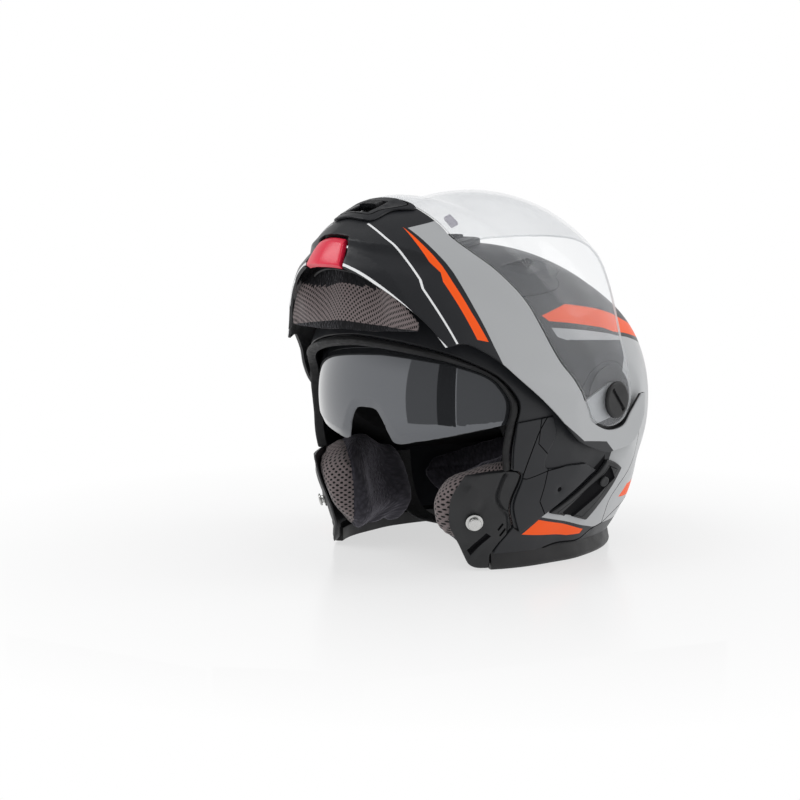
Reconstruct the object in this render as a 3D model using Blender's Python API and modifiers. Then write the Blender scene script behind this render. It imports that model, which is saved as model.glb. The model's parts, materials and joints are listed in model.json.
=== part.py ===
"""Modular (flip-up) motorcycle helmet, standing on its rim with the chin bar raised.

Every curved piece is a patch of a rounded body seen from the pivot of the chin bar. A point of a
patch is a direction: rho is the angle from the pivot axis (+X, the wearer's left) and alpha the angle
round that axis, 0 straight ahead, 90 up, 180 back. Outlines are lists of (rho, alpha) in degrees.
Lengths are millimetres until a mesh is made. The chin bar and the visor are drawn closed, and their
empty turns them to the raised pose of the photograph.
"""
import math

import bmesh
import bpy
from mathutils import Matrix, Vector
from mathutils.geometry import delaunay_2d_cdt

MM = 0.001
MID = 90.0                       # rho of the mid-plane
GRID = 9.0                       # degrees between the points of a patch
FINE = 4.5
GAP = 0.4                        # clearance between touching pieces
GAP_DEG = 0.3                    # the same clearance along a surface

PIVOT_Y = 24.0                   # the pivot axis in the world
PIVOT_Z = 125.0
FLOOR = -PIVOT_Z                 # the rim stands here
CHIN_OPEN = math.radians(64.0)   # the raised pose

SHELL_WALL = 3.5
SHELL_EDGE = -113.5              # the lower edge of the hard shell
CHIN_WALL = 2.6
VISOR_WALL = 2.2
SHELL_FLAT = 124.5               # the shell is flat here, under the hinge
CHIN_FLAT = 131.5                # the chin bar and visor are flat here

MATERIALS = {
    "shell_black": ((0.040, 0.042, 0.046), 0.45, 0.0),
    "cover_black": ((0.018, 0.018, 0.020), 0.55, 0.0),
    "chin_grey": ((0.400, 0.410, 0.425), 0.42, 0.0),
    "rubber_black": ((0.012, 0.012, 0.012), 0.75, 0.0),
    "foam_black": ((0.020, 0.020, 0.022), 0.90, 0.0),
    "fabric_grey": ((0.110, 0.095, 0.100), 0.95, 0.0),
    "fabric_dark": ((0.050, 0.048, 0.060), 0.95, 0.0),
    "button_red": ((0.600, 0.020, 0.060), 0.40, 0.0),
    "steel": ((0.600, 0.600, 0.590), 0.25, 1.0),
    "clear_visor": ((0.900, 0.920, 0.940), 0.05, 0.0),
    "smoke_visor": ((0.180, 0.190, 0.200), 0.06, 0.0),
    "webbing_black": ((0.020, 0.020, 0.022), 0.90, 0.0),
}


# ---------------------------------------------------------------- surfaces

def cubic_through(knots, at, period=None):
    """Smooth curve through (x, value) knots: cubic pieces with averaged slopes."""
    xs = [knot[0] for knot in knots]
    ys = [knot[1] for knot in knots]
    if period:
        xs = [xs[-1] - period] + xs + [xs[0] + period, xs[1] + period]
        ys = [ys[-1]] + ys + [ys[0], ys[1]]
        at = (at - knots[0][0]) % period + knots[0][0]
    if at <= xs[0]:
        return ys[0]
    if at >= xs[-1]:
        return ys[-1]
    i = max(k for k in range(len(xs) - 1) if xs[k] <= at)
    slopes = [(ys[k + 1] - ys[k]) / (xs[k + 1] - xs[k]) for k in range(len(xs) - 1)]
    start = (slopes[i - 1] + slopes[i]) / 2 if i > 0 else slopes[i]
    end = (slopes[i] + slopes[i + 1]) / 2 if i + 1 < len(slopes) else slopes[i]
    step = xs[i + 1] - xs[i]
    t = (at - xs[i]) / step
    return ((2 * t**3 - 3 * t**2 + 1) * ys[i] + (t**3 - 2 * t**2 + t) * step * start
            + (3 * t**2 - 2 * t**3) * ys[i + 1] + (t**3 - t**2) * step * end)


def smooth(low, high, value):
    t = min(max((value - low) / (high - low), 0.0), 1.0)
    return t * t * (3 - 2 * t)


def direction(rho, alpha):
    r, a = math.radians(rho), math.radians(alpha)
    return Vector((math.cos(r), -math.sin(r) * math.cos(a), math.sin(r) * math.sin(a)))


class Body:
    """A rounded body about the X axis: half_width at the sides, profile on the mid-plane."""

    def __init__(self, half_width, profile, power=((0, 2.0),), flat=None, flare=0.0, recess=None):
        self.half_width, self.profile, self.power = half_width, profile, power
        self.flat, self.flare, self.recess = flat, flare, recess

    def point(self, rho, alpha, out=0.0):
        """The body's point in a direction, moved out by that many millimetres."""
        ray = direction(rho, alpha)
        turn = (alpha + 180) % 360 - 180
        power = cubic_through(self.power, turn)
        if self.recess:
            out -= self.recess(rho, turn)
        radius = cubic_through(self.profile, alpha, 360) + out
        side = abs(ray.x) / (self.half_width + out)
        ring = math.hypot(ray.y, ray.z) / radius
        spot = ray / (side**power + ring**power) ** (1 / power)
        if self.flare and turn < 0:
            foot = smooth(0, 1, (-104 - spot.z) / 21) * smooth(-100, -70, turn)
            spot *= 1 + self.flare * foot
        if self.flat and spot.x > self.flat + out:
            spot *= (self.flat + out) / spot.x
        return spot

    def rho_at_height(self, alpha, height, out=0.0):
        """The rho at which the body, below the pivot, reaches a height."""
        low, high = 5.0, MID
        for _ in range(40):
            rho = (low + high) / 2
            if self.point(rho, alpha, out).z > height:
                low = rho
            else:
                high = rho
        return (low + high) / 2


def arm_recess(rho, turn):
    """The shell steps in where the closed visor and the arms of the closed chin bar lie on it."""
    visor = 1.3 * (1 - smooth(44, 60, turn)) * smooth(8, 14, rho) * (1 - smooth(42, 55, rho))
    arm = smooth(-88, -70, turn) * (1 - smooth(-14, 4, turn)) * smooth(16, 26, rho)
    return visor * smooth(-100, -88, turn) + arm * (3.0 - 1.6 * smooth(50, 60, rho))


SHELL = Body(131.0, [(-108, 168.5), (-90, 177), (-75, 183), (-60, 186), (-46, 179), (-38, 171), (-28, 168),
                     (0, 162), (15, 158), (35, 151), (60, 132), (90, 117), (120, 115), (150, 128),
                     (180, 135.5), (200, 139), (218, 142), (232, 157), (240, 163)],
             flat=SHELL_FLAT, flare=0.065, recess=arm_recess)
CHIN = Body(135.0, [(-60, 205), (-47, 200), (-34, 214), (-24, 208), (-14, 193), (-8, 187), (-2, 174),
                    (4, 167), (12, 164), (20, 161.5), (40, 152), (56, 141), (90, 150), (180, 190),
                    (250, 205)],
            power=((-60, 2.04), (-30, 1.63), (-10, 2.0), (60, 2.0)), flat=CHIN_FLAT)
SUN_Y = -22.0                    # the sun visor's own axis, ahead of the pivot
SUN_RADIUS, SUN_HALF, SUN_POWER = 117.0, 118.0, 2.1
POCKET_ROOM = 6.0                # the foam stands back from the sun visor's outer face
SUN = Body(SUN_HALF, [(turn, SUN_RADIUS) for turn in (0, 120, 240)], power=((0, SUN_POWER),))
POCKET_TOP, POCKET_BOTTOM, POCKET_HUB = 80.0, -30.0, 34.0


def pocket_depth(rho, alpha):
    """How far the foam stands back from the shell to leave room for the sun visor."""
    ray = direction(rho, alpha)
    low, high = 20.0, 200.0
    for _ in range(40):
        reach = (low + high) / 2
        spot = ray * reach - Vector((0, SUN_Y, 0))
        ring = math.hypot(spot.y, spot.z)
        across, around = abs(spot.x) / (SUN_HALF - POCKET_ROOM), ring / (SUN_RADIUS - POCKET_ROOM)
        low, high = (reach, high) if across**SUN_POWER + around**SUN_POWER < 1 else (low, reach)
    turn = math.degrees(math.atan2(spot.z, -spot.y))
    if POCKET_BOTTOM < turn < POCKET_TOP or ring < POCKET_HUB:
        return SHELL.point(rho, alpha).length - reach
    return 0.0


# ---------------------------------------------------------------- patches

def on_disc(rho, alpha):
    a = math.radians(alpha)
    return Vector((rho * math.cos(a), rho * math.sin(a)))


def from_disc(spot):
    return spot.length, math.degrees(math.atan2(spot.y, spot.x))


def outline(points, step):
    """Closed outline on the disc. A third value marks a corner; two mid-plane points join by an arc."""
    points = list(points)
    first = next((i for i, p in enumerate(points) if len(p) > 2), 0)
    points = points[first:] + points[:first]
    closed_smooth = not any(len(p) > 2 for p in points)
    spots = [on_disc(p[0], p[1]) for p in points]
    corner = [len(p) > 2 for p in points]
    count = len(points)
    path = []
    for i in range(count):
        j = (i + 1) % count
        a, b = points[i], points[j]
        if a[0] == MID and b[0] == MID:
            turn = (b[1] - a[1] + 180) % 360 - 180
            pieces = max(1, math.ceil(abs(math.radians(turn)) * MID / step))
            path += [on_disc(MID, a[1] + turn * k / pieces) for k in range(pieces)]
            continue
        before = spots[i - 1] if closed_smooth or not corner[i] else spots[i]
        after = spots[(j + 1) % count] if closed_smooth or not corner[j] else spots[j]
        pieces = max(1, math.ceil((spots[j] - spots[i]).length / step))
        for k in range(pieces):
            t = k / pieces
            near, far = (spots[j] - before) / 2, (after - spots[i]) / 2
            path.append((2 * t**3 - 3 * t**2 + 1) * spots[i] + (t**3 - 2 * t**2 + t) * near
                        + (3 * t**2 - 2 * t**3) * spots[j] + (t**3 - t**2) * far)
    return path


def circle(radius, rho=0.0, alpha=0.0, sides=10):
    """A round hole or disc about a direction, as outline points."""
    middle = on_disc(rho, alpha)
    rim = [middle + on_disc(radius, 360 * k / sides) for k in range(sides)]
    return [from_disc(spot) for spot in rim]


def notched(points, notch):
    """The outline with a notch cut from its mid-plane side: half of an opening across the mid-plane."""
    count = len(points)
    for i in range(count):
        a, b = points[i], points[(i + 1) % count]
        if a[0] != MID or b[0] != MID:
            continue
        first, last = notch[0][1], notch[-1][1]
        for turned_over in (0, 360, -360):
            low, high = sorted((first + turned_over, last + turned_over))
            if min(a[1], b[1]) < low and high < max(a[1], b[1]):
                moved = [(p[0], p[1] + turned_over, 1) for p in notch]
                if (moved[0][1] < moved[-1][1]) != (a[1] < b[1]):
                    moved.reverse()
                return [*points[:i], (a[0], a[1], 1), *moved, *points[i + 1:]]
    raise ValueError("the notch is off the mid-plane side")


def inside(spot, path):
    hit = False
    for a, b in zip(path, path[1:] + path[:1]):
        if (a.y > spot.y) != (b.y > spot.y):
            if spot.x < (b.x - a.x) * (spot.y - a.y) / (b.y - a.y) + a.x:
                hit = not hit
    return hit


def triangles(points, holes, step):
    """Disc points and triangles that fill an outline, less its holes."""
    loops = [outline(points, step)] + [outline(hole, step) for hole in holes]
    spots, edges = [], []
    for loop in loops:
        start = len(spots)
        spots += loop
        edges += [(start + k, start + (k + 1) % len(loop)) for k in range(len(loop))]
    rows = int(MID / step) + 2
    for row in range(-rows, rows + 1):
        for column in range(-rows, rows + 1):
            spot = Vector(((column + (row % 2) / 2) * step, row * step * math.sqrt(0.75)))
            if not inside(spot, loops[0]) or any(inside(spot, loop) for loop in loops[1:]):
                continue
            if min((spot - other).length for other in spots[:len(edges)]) > 0.55 * step:
                spots.append(spot)
    found, _, faces = delaunay_2d_cdt(spots, edges, [], 0, 1e-4)[:3]
    kept = []
    for face in faces:
        middle = (found[face[0]] + found[face[1]] + found[face[2]]) / 3
        if inside(middle, loops[0]) and not any(inside(middle, loop) for loop in loops[1:]):
            kept.append(face)
    return found, kept


def patch(name, body, points, top, bottom, material, parent, holes=(), notches=(), step=GRID,
          side="middle"):
    """A closed solid between two skins of a body. top and bottom are millimetres out from the body,
    or functions of (rho, alpha). side is middle, left or both."""
    for notch in notches:
        points = notched(points, notch)
    spots, faces = triangles(points, holes, step)
    mesh = bmesh.new()

    def skin(level):
        verts = []
        for spot in spots:
            rho, alpha = from_disc(spot)
            out = level(rho, alpha) if callable(level) else level
            where = body.point(rho, alpha, out)
            if side == "middle" and abs(rho - MID) < 1e-3:
                where.x = 0.0
            verts.append(mesh.verts.new(where * MM))
        return verts

    upper, lower = skin(top), skin(bottom)
    sides = {}
    for face in faces:
        ring = [spots[k] for k in face]
        if (ring[1] - ring[0]).cross(ring[2] - ring[0]) > 0:
            face = face[::-1]
        mesh.faces.new([upper[k] for k in face])
        mesh.faces.new([lower[k] for k in reversed(face)])
        for a, b in zip(face, face[1:] + face[:1]):
            sides[(a, b)] = sides.get((a, b), 0) + 1
    for a, b in sides:
        if (b, a) in sides:
            continue
        on_mid = abs(spots[a].length - MID) < 1e-3 and abs(spots[b].length - MID) < 1e-3
        if side == "middle" and on_mid:
            continue
        mesh.faces.new([upper[b], upper[a], lower[a], lower[b]])
    loose = [v for v in mesh.verts if not v.link_faces]
    bmesh.ops.delete(mesh, geom=loose, context="VERTS")
    if side != "middle":
        pair(name, mesh, material, parent, side)
        return
    half = finish(name, mesh, material, parent)
    half.modifiers.new("mirror", "MIRROR").merge_threshold = 1e-5


def pair(name, mesh, material, parent, side="both"):
    """One object on the wearer's left (+X), or with its mirror image on the right."""
    if side == "left":
        finish(name, mesh, material, parent)
        return
    finish(name + "_left", mesh.copy(), material, parent)
    bmesh.ops.transform(mesh, matrix=Matrix.Scale(-1, 4, (1, 0, 0)), verts=mesh.verts)
    bmesh.ops.reverse_faces(mesh, faces=mesh.faces)
    finish(name + "_right", mesh, material, parent)


def finish(name, mesh, material, parent):
    if all(len(edge.link_faces) == 2 for edge in mesh.edges):
        bmesh.ops.recalc_face_normals(mesh, faces=mesh.faces)
    data = bpy.data.meshes.new(name)
    mesh.to_mesh(data)
    mesh.free()
    data.materials.append(bpy.data.materials[material])
    data.shade_smooth()
    data.set_sharp_from_angle(angle=math.radians(40))
    obj = bpy.data.objects.new(name, data)
    obj.parent = parent
    HELMET.objects.link(obj)
    return obj


# ---------------------------------------------------------------- turned, flat and swept pieces

def turned(name, profile, base, axis, material, parent, side="both", sides=16):
    """A solid of revolution: (radius, height) pairs from the axis back to the axis, along axis from base."""
    mesh = bmesh.new()
    rings = []
    for radius, height in profile:
        if radius == 0:
            rings.append([mesh.verts.new((0, 0, height * MM))])
            continue
        turns = [2 * math.pi * (k + 0.5) / sides for k in range(sides)]
        rings.append([mesh.verts.new((radius * MM * math.cos(t), radius * MM * math.sin(t), height * MM))
                      for t in turns])
    loop = rings if profile[0][0] == 0 else rings + rings[:1]
    for low, high in zip(loop, loop[1:]):
        for k in range(sides):
            corners = [low[k % len(low)], low[(k + 1) % len(low)], high[(k + 1) % len(high)],
                       high[k % len(high)]]
            mesh.faces.new(list(dict.fromkeys(corners)))
    turn = Vector((0, 0, 1)).rotation_difference(Vector(axis)).to_matrix().to_4x4()
    bmesh.ops.transform(mesh, matrix=Matrix.Translation(Vector(base) * MM) @ turn, verts=mesh.verts)
    pair(name, mesh, material, parent, side)


def plate(name, rim, x_low, x_high, material, parent, hole=0.0, side="both"):
    """A flat plate across the pivot axis. rim is (y, z) points; hole is a round hole on the axis."""
    spots = [Vector(p) for p in rim]
    edges = [(k, (k + 1) % len(spots)) for k in range(len(spots))]
    ring = []
    if hole:
        ring = [Vector((hole * math.cos(t), hole * math.sin(t)))
                for t in (2 * math.pi * k / 12 for k in range(12))]
        start = len(spots)
        edges += [(start + k, start + (k + 1) % 12) for k in range(12)]
    found, _, faces = delaunay_2d_cdt(spots + ring, edges, [], 0, 1e-4)[:3]
    mesh = bmesh.new()
    low = [mesh.verts.new((x_low * MM, spot.x * MM, spot.y * MM)) for spot in found]
    for face in faces:
        middle = (found[face[0]] + found[face[1]] + found[face[2]]) / 3
        if inside(middle, spots) and not (ring and inside(middle, ring)):
            mesh.faces.new([low[k] for k in face])
    grown = bmesh.ops.extrude_face_region(mesh, geom=list(mesh.faces))["geom"]
    moved = [part for part in grown if isinstance(part, bmesh.types.BMVert)]
    bmesh.ops.translate(mesh, vec=((x_high - x_low) * MM, 0, 0), verts=moved)
    pair(name, mesh, material, parent, side)


def loft(name, sections, material, parent):
    """A bar through like sections, each a list of points, with flat ends."""
    mesh = bmesh.new()
    rings = [[mesh.verts.new(Vector(p) * MM) for p in section] for section in sections]
    for low, high in zip(rings, rings[1:]):
        for k in range(len(low)):
            n = (k + 1) % len(low)
            mesh.faces.new([low[k], low[n], high[n], high[k]])
    mesh.faces.new(rings[0][::-1])
    mesh.faces.new(rings[-1])
    finish(name, mesh, material, parent)


def ribbon(path, width, thickness):
    """Sections of a strap that follows a path in the X-Z plane: (x, y, z) centres, width along Y."""
    sections = []
    for k, spot in enumerate(path):
        ahead = Vector(path[min(k + 1, len(path) - 1)]) - Vector(path[max(k - 1, 0)])
        across = Vector((-ahead.z, 0, ahead.x)).normalized() * thickness / 2
        half = Vector((0, width / 2, 0))
        spot = Vector(spot)
        sections.append([spot - half - across, spot + half - across, spot + half + across,
                         spot - half + across])
    return sections


# ---------------------------------------------------------------- the shell and what it carries

BROW = [(MID, 19, 1), (70, 18), (58, 16.5), (47, 13), (41, 7), (38.5, 0), (40, -10), (42.5, -20)]
JAW_SEAM = [(44.6, -28.6, 1), (42.4, -33.8), (49.0, -42.3), (51.8, -50.6, 1)]
JAW_BACK = -52.3                           # alpha where the seam leaves the shell's lower edge
JAW_FOOT = [(66.4, -42.0), (66.0, -47.5), (64.8, -51.0), (61.8, -54.3, 1)]   # down to the floor
RIM_START = -52.7                          # alpha of the rubber rim's ends


def rear_alpha(body, rho, height):
    """The alpha behind the pivot (below 0) where the body reaches a height at this rho."""
    low, high = -160.0, -95.0
    for _ in range(40):
        turn = (low + high) / 2
        low, high = (turn, high) if body.point(rho, turn).z > height else (low, turn)
    return (low + high) / 2


REAR_RHOS = (69.0, 76.0, 83.0)   # where the level lower edge is followed by rho, near the mid-plane


def lower_edge(body, height, first, last=None, step=9.0, out=0.0):
    """Outline points along a level lower edge from alpha first back to alpha last, or to the mid-plane."""
    stop = rear_alpha(body, REAR_RHOS[0], height) + 4 if last is None else last
    count = max(1, round(abs(stop - first) / step))
    turns = [first + (stop - first) * k / count for k in range(count + 1)]
    points = [(body.rho_at_height(turn, height, out), turn) for turn in turns]
    if last is None:
        points += [(rho, rear_alpha(body, rho, height)) for rho in REAR_RHOS]
    return points


def shell_outline():
    edge = lower_edge(SHELL, SHELL_EDGE, JAW_BACK)
    edge[0] = (*edge[0], 1)
    return BROW + JAW_SEAM + edge + [(MID, rear_alpha(SHELL, MID, SHELL_EDGE), 1), (MID, -180),
                                     (MID, -270), (MID, -300)]


def jaw_outline():
    seam = [(p[0] + 1.6 * GAP_DEG, p[1] + GAP_DEG, *p[2:]) for p in reversed(JAW_SEAM[1:])]
    return ([(57.5, -24, 1), (62.2, -29), (64.4, -33), (66.2, -38)] + JAW_FOOT
            + [(60.3, JAW_BACK + GAP_DEG, 1)] + seam + [(45.4, -28.9, 1), (52.0, -25.6)])


def shell_parts(frame):
    patch("outer_shell", SHELL, shell_outline(), 0, -SHELL_WALL, "shell_black", frame,
          holes=[circle(2.0, sides=8)], notches=[TOP_HOLE, REAR_HOLE])
    patch("jaw_cover", SHELL, jaw_outline(), 0, -SHELL_WALL, "cover_black", frame, side="both")
    patch("eye_port_gasket", SHELL, gasket_outline(), lambda r, a: 0.8 + 0.6 * smooth(60, 80, r), -6.0,
          "rubber_black", frame)
    patch("side_panel", SHELL, SIDE_PANEL, 1.8, 2 * GAP, "shell_black", frame, side="both", step=FINE)
    patch("sun_visor_slider_housing", SHELL, HOUSING, 3.2, 3 * GAP, "shell_black", frame,
          holes=[SLIDER_SLOT], side="left", step=FINE)
    patch("top_vent_cover", SHELL, TOP_VENT, 4.5, GAP, "shell_black", frame, notches=[TOP_SLOT],
          step=FINE)
    patch("rear_exhaust_cover", SHELL, REAR_VENT, 4.0, GAP, "cover_black", frame, step=FINE)
    neck_rim(frame)
    latch_pins(frame)


def gasket_outline():
    outer = [(p[0], p[1]) for p in BROW] + [(44.0, -28.0)]
    edge = [(MID, 18.5, 1)] + [(rho + 0.8 * shift, turn - 0.6) for (rho, turn), shift
                               in zip(outer[1:], (0, 0.3, 0.7, 1, 1, 1, 1, 1))]
    edge[-1] = (edge[-1][0], edge[-1][1], 1)
    back = [(rho + 2.8 * shift, turn - 2.6 * (1 - shift)) for (rho, turn), shift
            in zip(outer[1:], (0, 0.2, 0.6, 1, 1, 1, 1, 1))]
    back = back[::-1]
    back[0] = (back[0][0], back[0][1], 1)
    return edge + back + [(MID, 16.3, 1)]


def neck_rim(frame):
    """The rubber band under the shell: its flat underside is what the helmet stands on."""
    band, lean = 6.0, 1.5
    top = SHELL_EDGE - GAP
    spots = [SHELL.point(*p) for p in lower_edge(SHELL, top, RIM_START)]
    spots.append(SHELL.point(MID, rear_alpha(SHELL, MID, top)))
    spots += [Vector((-p.x, p.y, p.z)) for p in spots[-2::-1]]
    sections = []
    for index, spot in enumerate(spots):
        ahead = spots[min(index + 1, len(spots) - 1)] - spots[max(index - 1, 0)]
        outward = Vector((-ahead.y, ahead.x, 0)).normalized()
        outward *= -1 if outward.dot(Vector((spot.x, spot.y, 0))) < 0 else 1
        sections.append([(spot.x, spot.y, top), (*(spot + outward * lean).xy, FLOOR),
                         (*(spot - outward * band).xy, FLOOR), (*(spot - outward * band).xy, top)])
    loft("neck_rim_trim", sections, "rubber_black", frame)


PIN_SPOT = (59.6, -40.2)


def surface_normal(body, rho, alpha):
    here = body.point(rho, alpha)
    along = body.point(rho + 1, alpha) - here
    around = body.point(rho, alpha + 1) - here
    normal = along.cross(around).normalized()
    return normal if normal.dot(direction(rho, alpha)) > 0 else -normal


def latch_pins(frame):
    base = SHELL.point(*PIN_SPOT)
    normal = surface_normal(SHELL, *PIN_SPOT)
    turned("latch_pin", [(0, GAP), (6.5, GAP), (6.5, 1.4), (3.2, 1.8), (3.2, 3.4), (5.0, 3.9), (5.0, 4.8),
                         (4.2, 5.4), (0, 5.4)], base, normal, "steel", frame)


TOP_HOLE = [(MID, 63, 1), (86.5, 63, 1), (86.5, 67, 1), (MID, 67, 1)]
TOP_VENT = [(MID, 57, 1), (84, 57.5), (79, 61), (78, 67), (80, 75), (84, 79), (MID, 80, 1)]
TOP_SLOT = [(MID, 67.5, 1), (85.2, 67.5, 1), (85.2, 74.5, 1), (MID, 74.5, 1)]
REAR_HOLE = [(MID, 168, 1), (85.5, 168, 1), (85.5, 172, 1), (MID, 172, 1)]
REAR_VENT = [(MID, 160, 1), (82, 160.5), (73, 163), (71, 168), (76, 173), (84, 176), (MID, 177, 1)]
SIDE_PANEL = [(39.6, -8, 1), (42.0, -20), (44.0, -29.0, 1), (41.8, -33.9), (48.2, -42.8), (51.4, -53.6, 1),
              (42.6, -57.2), (38.2, -59.6), (24.0, -76, 1), (23.5, -62, 1), (27.0, -50), (34.4, -38.1),
              (31.8, -30.3), (27.0, -22), (27.0, -8, 1)]
HOUSING = [(42.0, -58.4, 1), (30.2, -70.6), (20.4, -87.6, 1), (21.4, -98.0), (24.2, -106.8, 1),
           (32.6, -92.4), (40.0, -83.5, 1)]
SLOT_LOW, SLOT_HIGH = (38.2, -70.5), (26.0, -89.4)     # the ends of the sun visor slider's slot
SLOT_HALF = 1.6
KNOB_START = 4.0                 # millimetres from the slot's upper end to the knob's middle


def slot_outline():
    low, high = on_disc(*SLOT_LOW), on_disc(*SLOT_HIGH)
    along = (high - low).normalized() * SLOT_HALF
    across = Vector((-along.y, along.x))
    corners = [low - along - across, high + along - across, high + along + across, low - along + across]
    return [(*from_disc(corner), 1) for corner in corners]


SLIDER_SLOT = slot_outline()


def slider_knob(frame):
    """The sun visor's slider, at its upper stop: the visor is down."""
    spot = SHELL.point(*SLOT_HIGH)
    middle = from_disc((on_disc(*SLOT_HIGH) + on_disc(*SLOT_LOW)) / 2)
    travel = (SHELL.point(*SLOT_LOW) - spot).normalized()
    turned("sun_visor_slider", [(0, 1.4), (2.4, 1.4), (2.4, 4.0), (3.9, 4.0), (4.1, 5.0), (3.6, 5.6),
                                (0, 5.6)], spot + travel * KNOB_START, surface_normal(SHELL, *middle),
           "cover_black", frame, side="left")


# ---------------------------------------------------------------- linings

EPS_EDGE = [(MID, 21.5, 1), (70, 20.5), (56, 18.5), (45, 13), (43.0, 6), (42.0, -4), (44.0, -16, 1),
            (31, -42), (27, -80), (33, -122), (48, -142), (70, -154), (MID, -158, 1), (MID, -180),
            (MID, -270), (MID, -300)]
CROWN_PAD = [(MID, 40, 1), (70, 41), (56, 48), (48, 70), (46, 100), (48, 130), (56, 155), (72, 170),
             (MID, 176, 1), (MID, 120), (MID, 70)]
EPS_IN = 33.0
PAD_OUT, PAD_LOW, ROLL_LOW = -13.0, FLOOR + 5, FLOOR + 3


def rim_room(rho, alpha):
    """How far the pads step in behind the rubber rim and the foot of the jaw covers."""
    return 8.0 * smooth(98, 112, -SHELL.point(rho, alpha).z)


def lining_parts(frame):
    patch("eps_liner", SHELL, EPS_EDGE, lambda r, a: -max(4.7, pocket_depth(r, a)), -EPS_IN,
          "foam_black", frame)
    patch("crown_comfort_liner", SHELL, CROWN_PAD, -EPS_IN - GAP * 2,
          lambda r, a: -EPS_IN - 1.5 - 8 * smooth(46, 62, r), "fabric_grey", frame)
    cheek = lower_edge(SHELL, PAD_LOW, -53, -86, 8, PAD_OUT)
    points = ([(70.0, -32, 1), (71.4, -38.4), (71.4, -44.5), (70.2, -48.5)] + cheek[:-1]
              + [(*cheek[-1], 1), (40, -88), (30, -84, 1), (30.5, -60), (33, -45), (41, -32), (52, -27.5),
                 (64, -27.5, 1)])
    patch("cheek_pad", SHELL, points, lambda r, a: -5.5 - 2.5 * smooth(56, 66, r) - rim_room(r, a),
          lambda r, a: -33.0 + 6 * smooth(40, 28, r), "fabric_grey", frame, side="both")
    roll = lower_edge(SHELL, ROLL_LOW, -112)
    points = ([(MID, -156, 1), (70, -151.5), (50, -139), (40, -122), (42, -113, 1)]
              + [(*roll[0], 1)] + roll[1:] + [(MID, rear_alpha(SHELL, MID, ROLL_LOW), 1)])
    patch("neck_roll", SHELL, points, lambda r, a: -5.0 - rim_room(r, a),
          lambda r, a: -15 - 15 * smooth(40, 62, r), "fabric_dark", frame)


# ---------------------------------------------------------------- the sun visor

SUN_EDGE = [(MID, 26, 1), (60, 25), (40, 22), (22, 21), (10, 40), (8, 90), (8, 180), (8, -90), (10, -45),
            (24, -14), (45, -13), (66, -15), (77, -16.0), (80, -12), (82, -7), (85, -3), (MID, -2.3, 1)]


def sun_visor_parts(frame, axis):
    patch("sun_visor", SUN, SUN_EDGE, 0, -2.4, "smoke_visor", axis, holes=[circle(1.6, sides=8)])
    base = (114.4, SUN_Y, 0)
    turned("sun_visor_pivot", [(0, 0), (2.6, 0), (2.6, 3.6), (6.0, 3.6), (6.0, 5.0), (0, 5.0)], base,
           (1, 0, 0), "steel", frame, sides=12)


# ---------------------------------------------------------------- the hinge

def teardrop(radius, low_radius, low_y, low_z, sides=10):
    """Round at the pivot, with a rounded lug reaching down to (low_y, low_z)."""
    reach = Vector((low_y, low_z))
    turn = math.atan2(reach.y, reach.x)
    rim = []
    for k in range(sides + 1):
        t = turn + math.pi / 2 + math.pi * k / sides
        rim.append((radius * math.cos(t), radius * math.sin(t)))
    for k in range(sides + 1):
        t = turn - math.pi / 2 + math.pi * k / sides
        rim.append((reach.x + low_radius * math.cos(t), reach.y + low_radius * math.sin(t)))
    return rim


def hinge_parts(frame, chin):
    disc = [(26 * math.cos(t), 26 * math.sin(t)) for t in (2 * math.pi * k / 24 for k in range(24))]
    plate("hinge_base_plate", disc, SHELL_FLAT + 0.3, SHELL_FLAT + 1.5, "cover_black", frame, hole=4.6)
    plate("hinge_arm", teardrop(13, 10, -6, -34), SHELL_FLAT + 1.9, SHELL_FLAT + 3.7, "steel", chin,
          hole=4.6)
    turned("hinge_bolt", [(0, 0), (3.6, 0), (3.6, 7.6), (6.5, 7.6), (6.5, 9.8), (0, 9.8)],
           (SHELL_FLAT - 3.2, 0, 0), (1, 0, 0), "steel", frame)
    turned("visor_pivot_cap", [(0, 2.9), (7.2, 2.9), (7.2, 0), (9.0, 0), (9.0, 2.9), (14.0, 2.9),
                               (14.0, 4.4), (12.6, 5.3), (0, 5.3)],
           (CHIN_FLAT - 2.6, 0, 0), (1, 0, 0), "cover_black", frame, sides=24)


# ---------------------------------------------------------------- the chin bar

CHIN_TOP = [(MID, -10.6, 1), (74, -14.6), (68.7, -16.9), (63.2, -17.6), (56, -17.9), (46.4, -19.8),
            (38.4, -24.6), (28.6, -34.6), (21.2, -43.8), (15.0, -71.8), (13.6, -91.7), (10.4, -131.7),
            (10.0, -180), (10.0, -215), (12.0, -236), (14.6, -248, 1)]
CHIN_LOW = [(17.4, -248, 1), (17.6, -220), (17.8, -190), (16.6, -154), (17.4, -134.7), (20.7, -101.9),
            (23.0, -87.9), (26.5, -72.9), (31.7, -61.8), (40.0, -51.9), (45.8, -47.0), (51.3, -44.6),
            (56.2, -43.8), (60.5, -46.4, 1), (65.2, -42.0), (71.5, -38.6), (78.7, -36.0), (84.6, -34.7, 1)]
BUTTON_TOP = -27.6
CHIN_EDGE = CHIN_TOP + CHIN_LOW + [(86.4, BUTTON_TOP, 1), (MID, BUTTON_TOP, 1)]
CHIN_HOLE = [(MID, -20.5, 1), (85.0, -20.5, 1), (84.0, -16.0, 1), (MID, -16.0, 1)]
CHIN_VENT = [(MID, -22.6, 1), (84.6, -22.2), (83.2, -17), (79.8, -13.8), (82, -12.2), (MID, -11.6, 1)]
CHIN_SLOT = [(MID, -20.0, 1), (86.8, -20.0, 1), (86.8, -13.8, 1), (MID, -13.8, 1)]
CHIN_FOAM = [(MID, -13.4, 1), (76, -16.6), (68, -20.0), (66.6, -26), (68.5, -33, 1), (76, -31.6),
             (81, -26.6, 1), (MID, -26.6, 1)]
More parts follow.
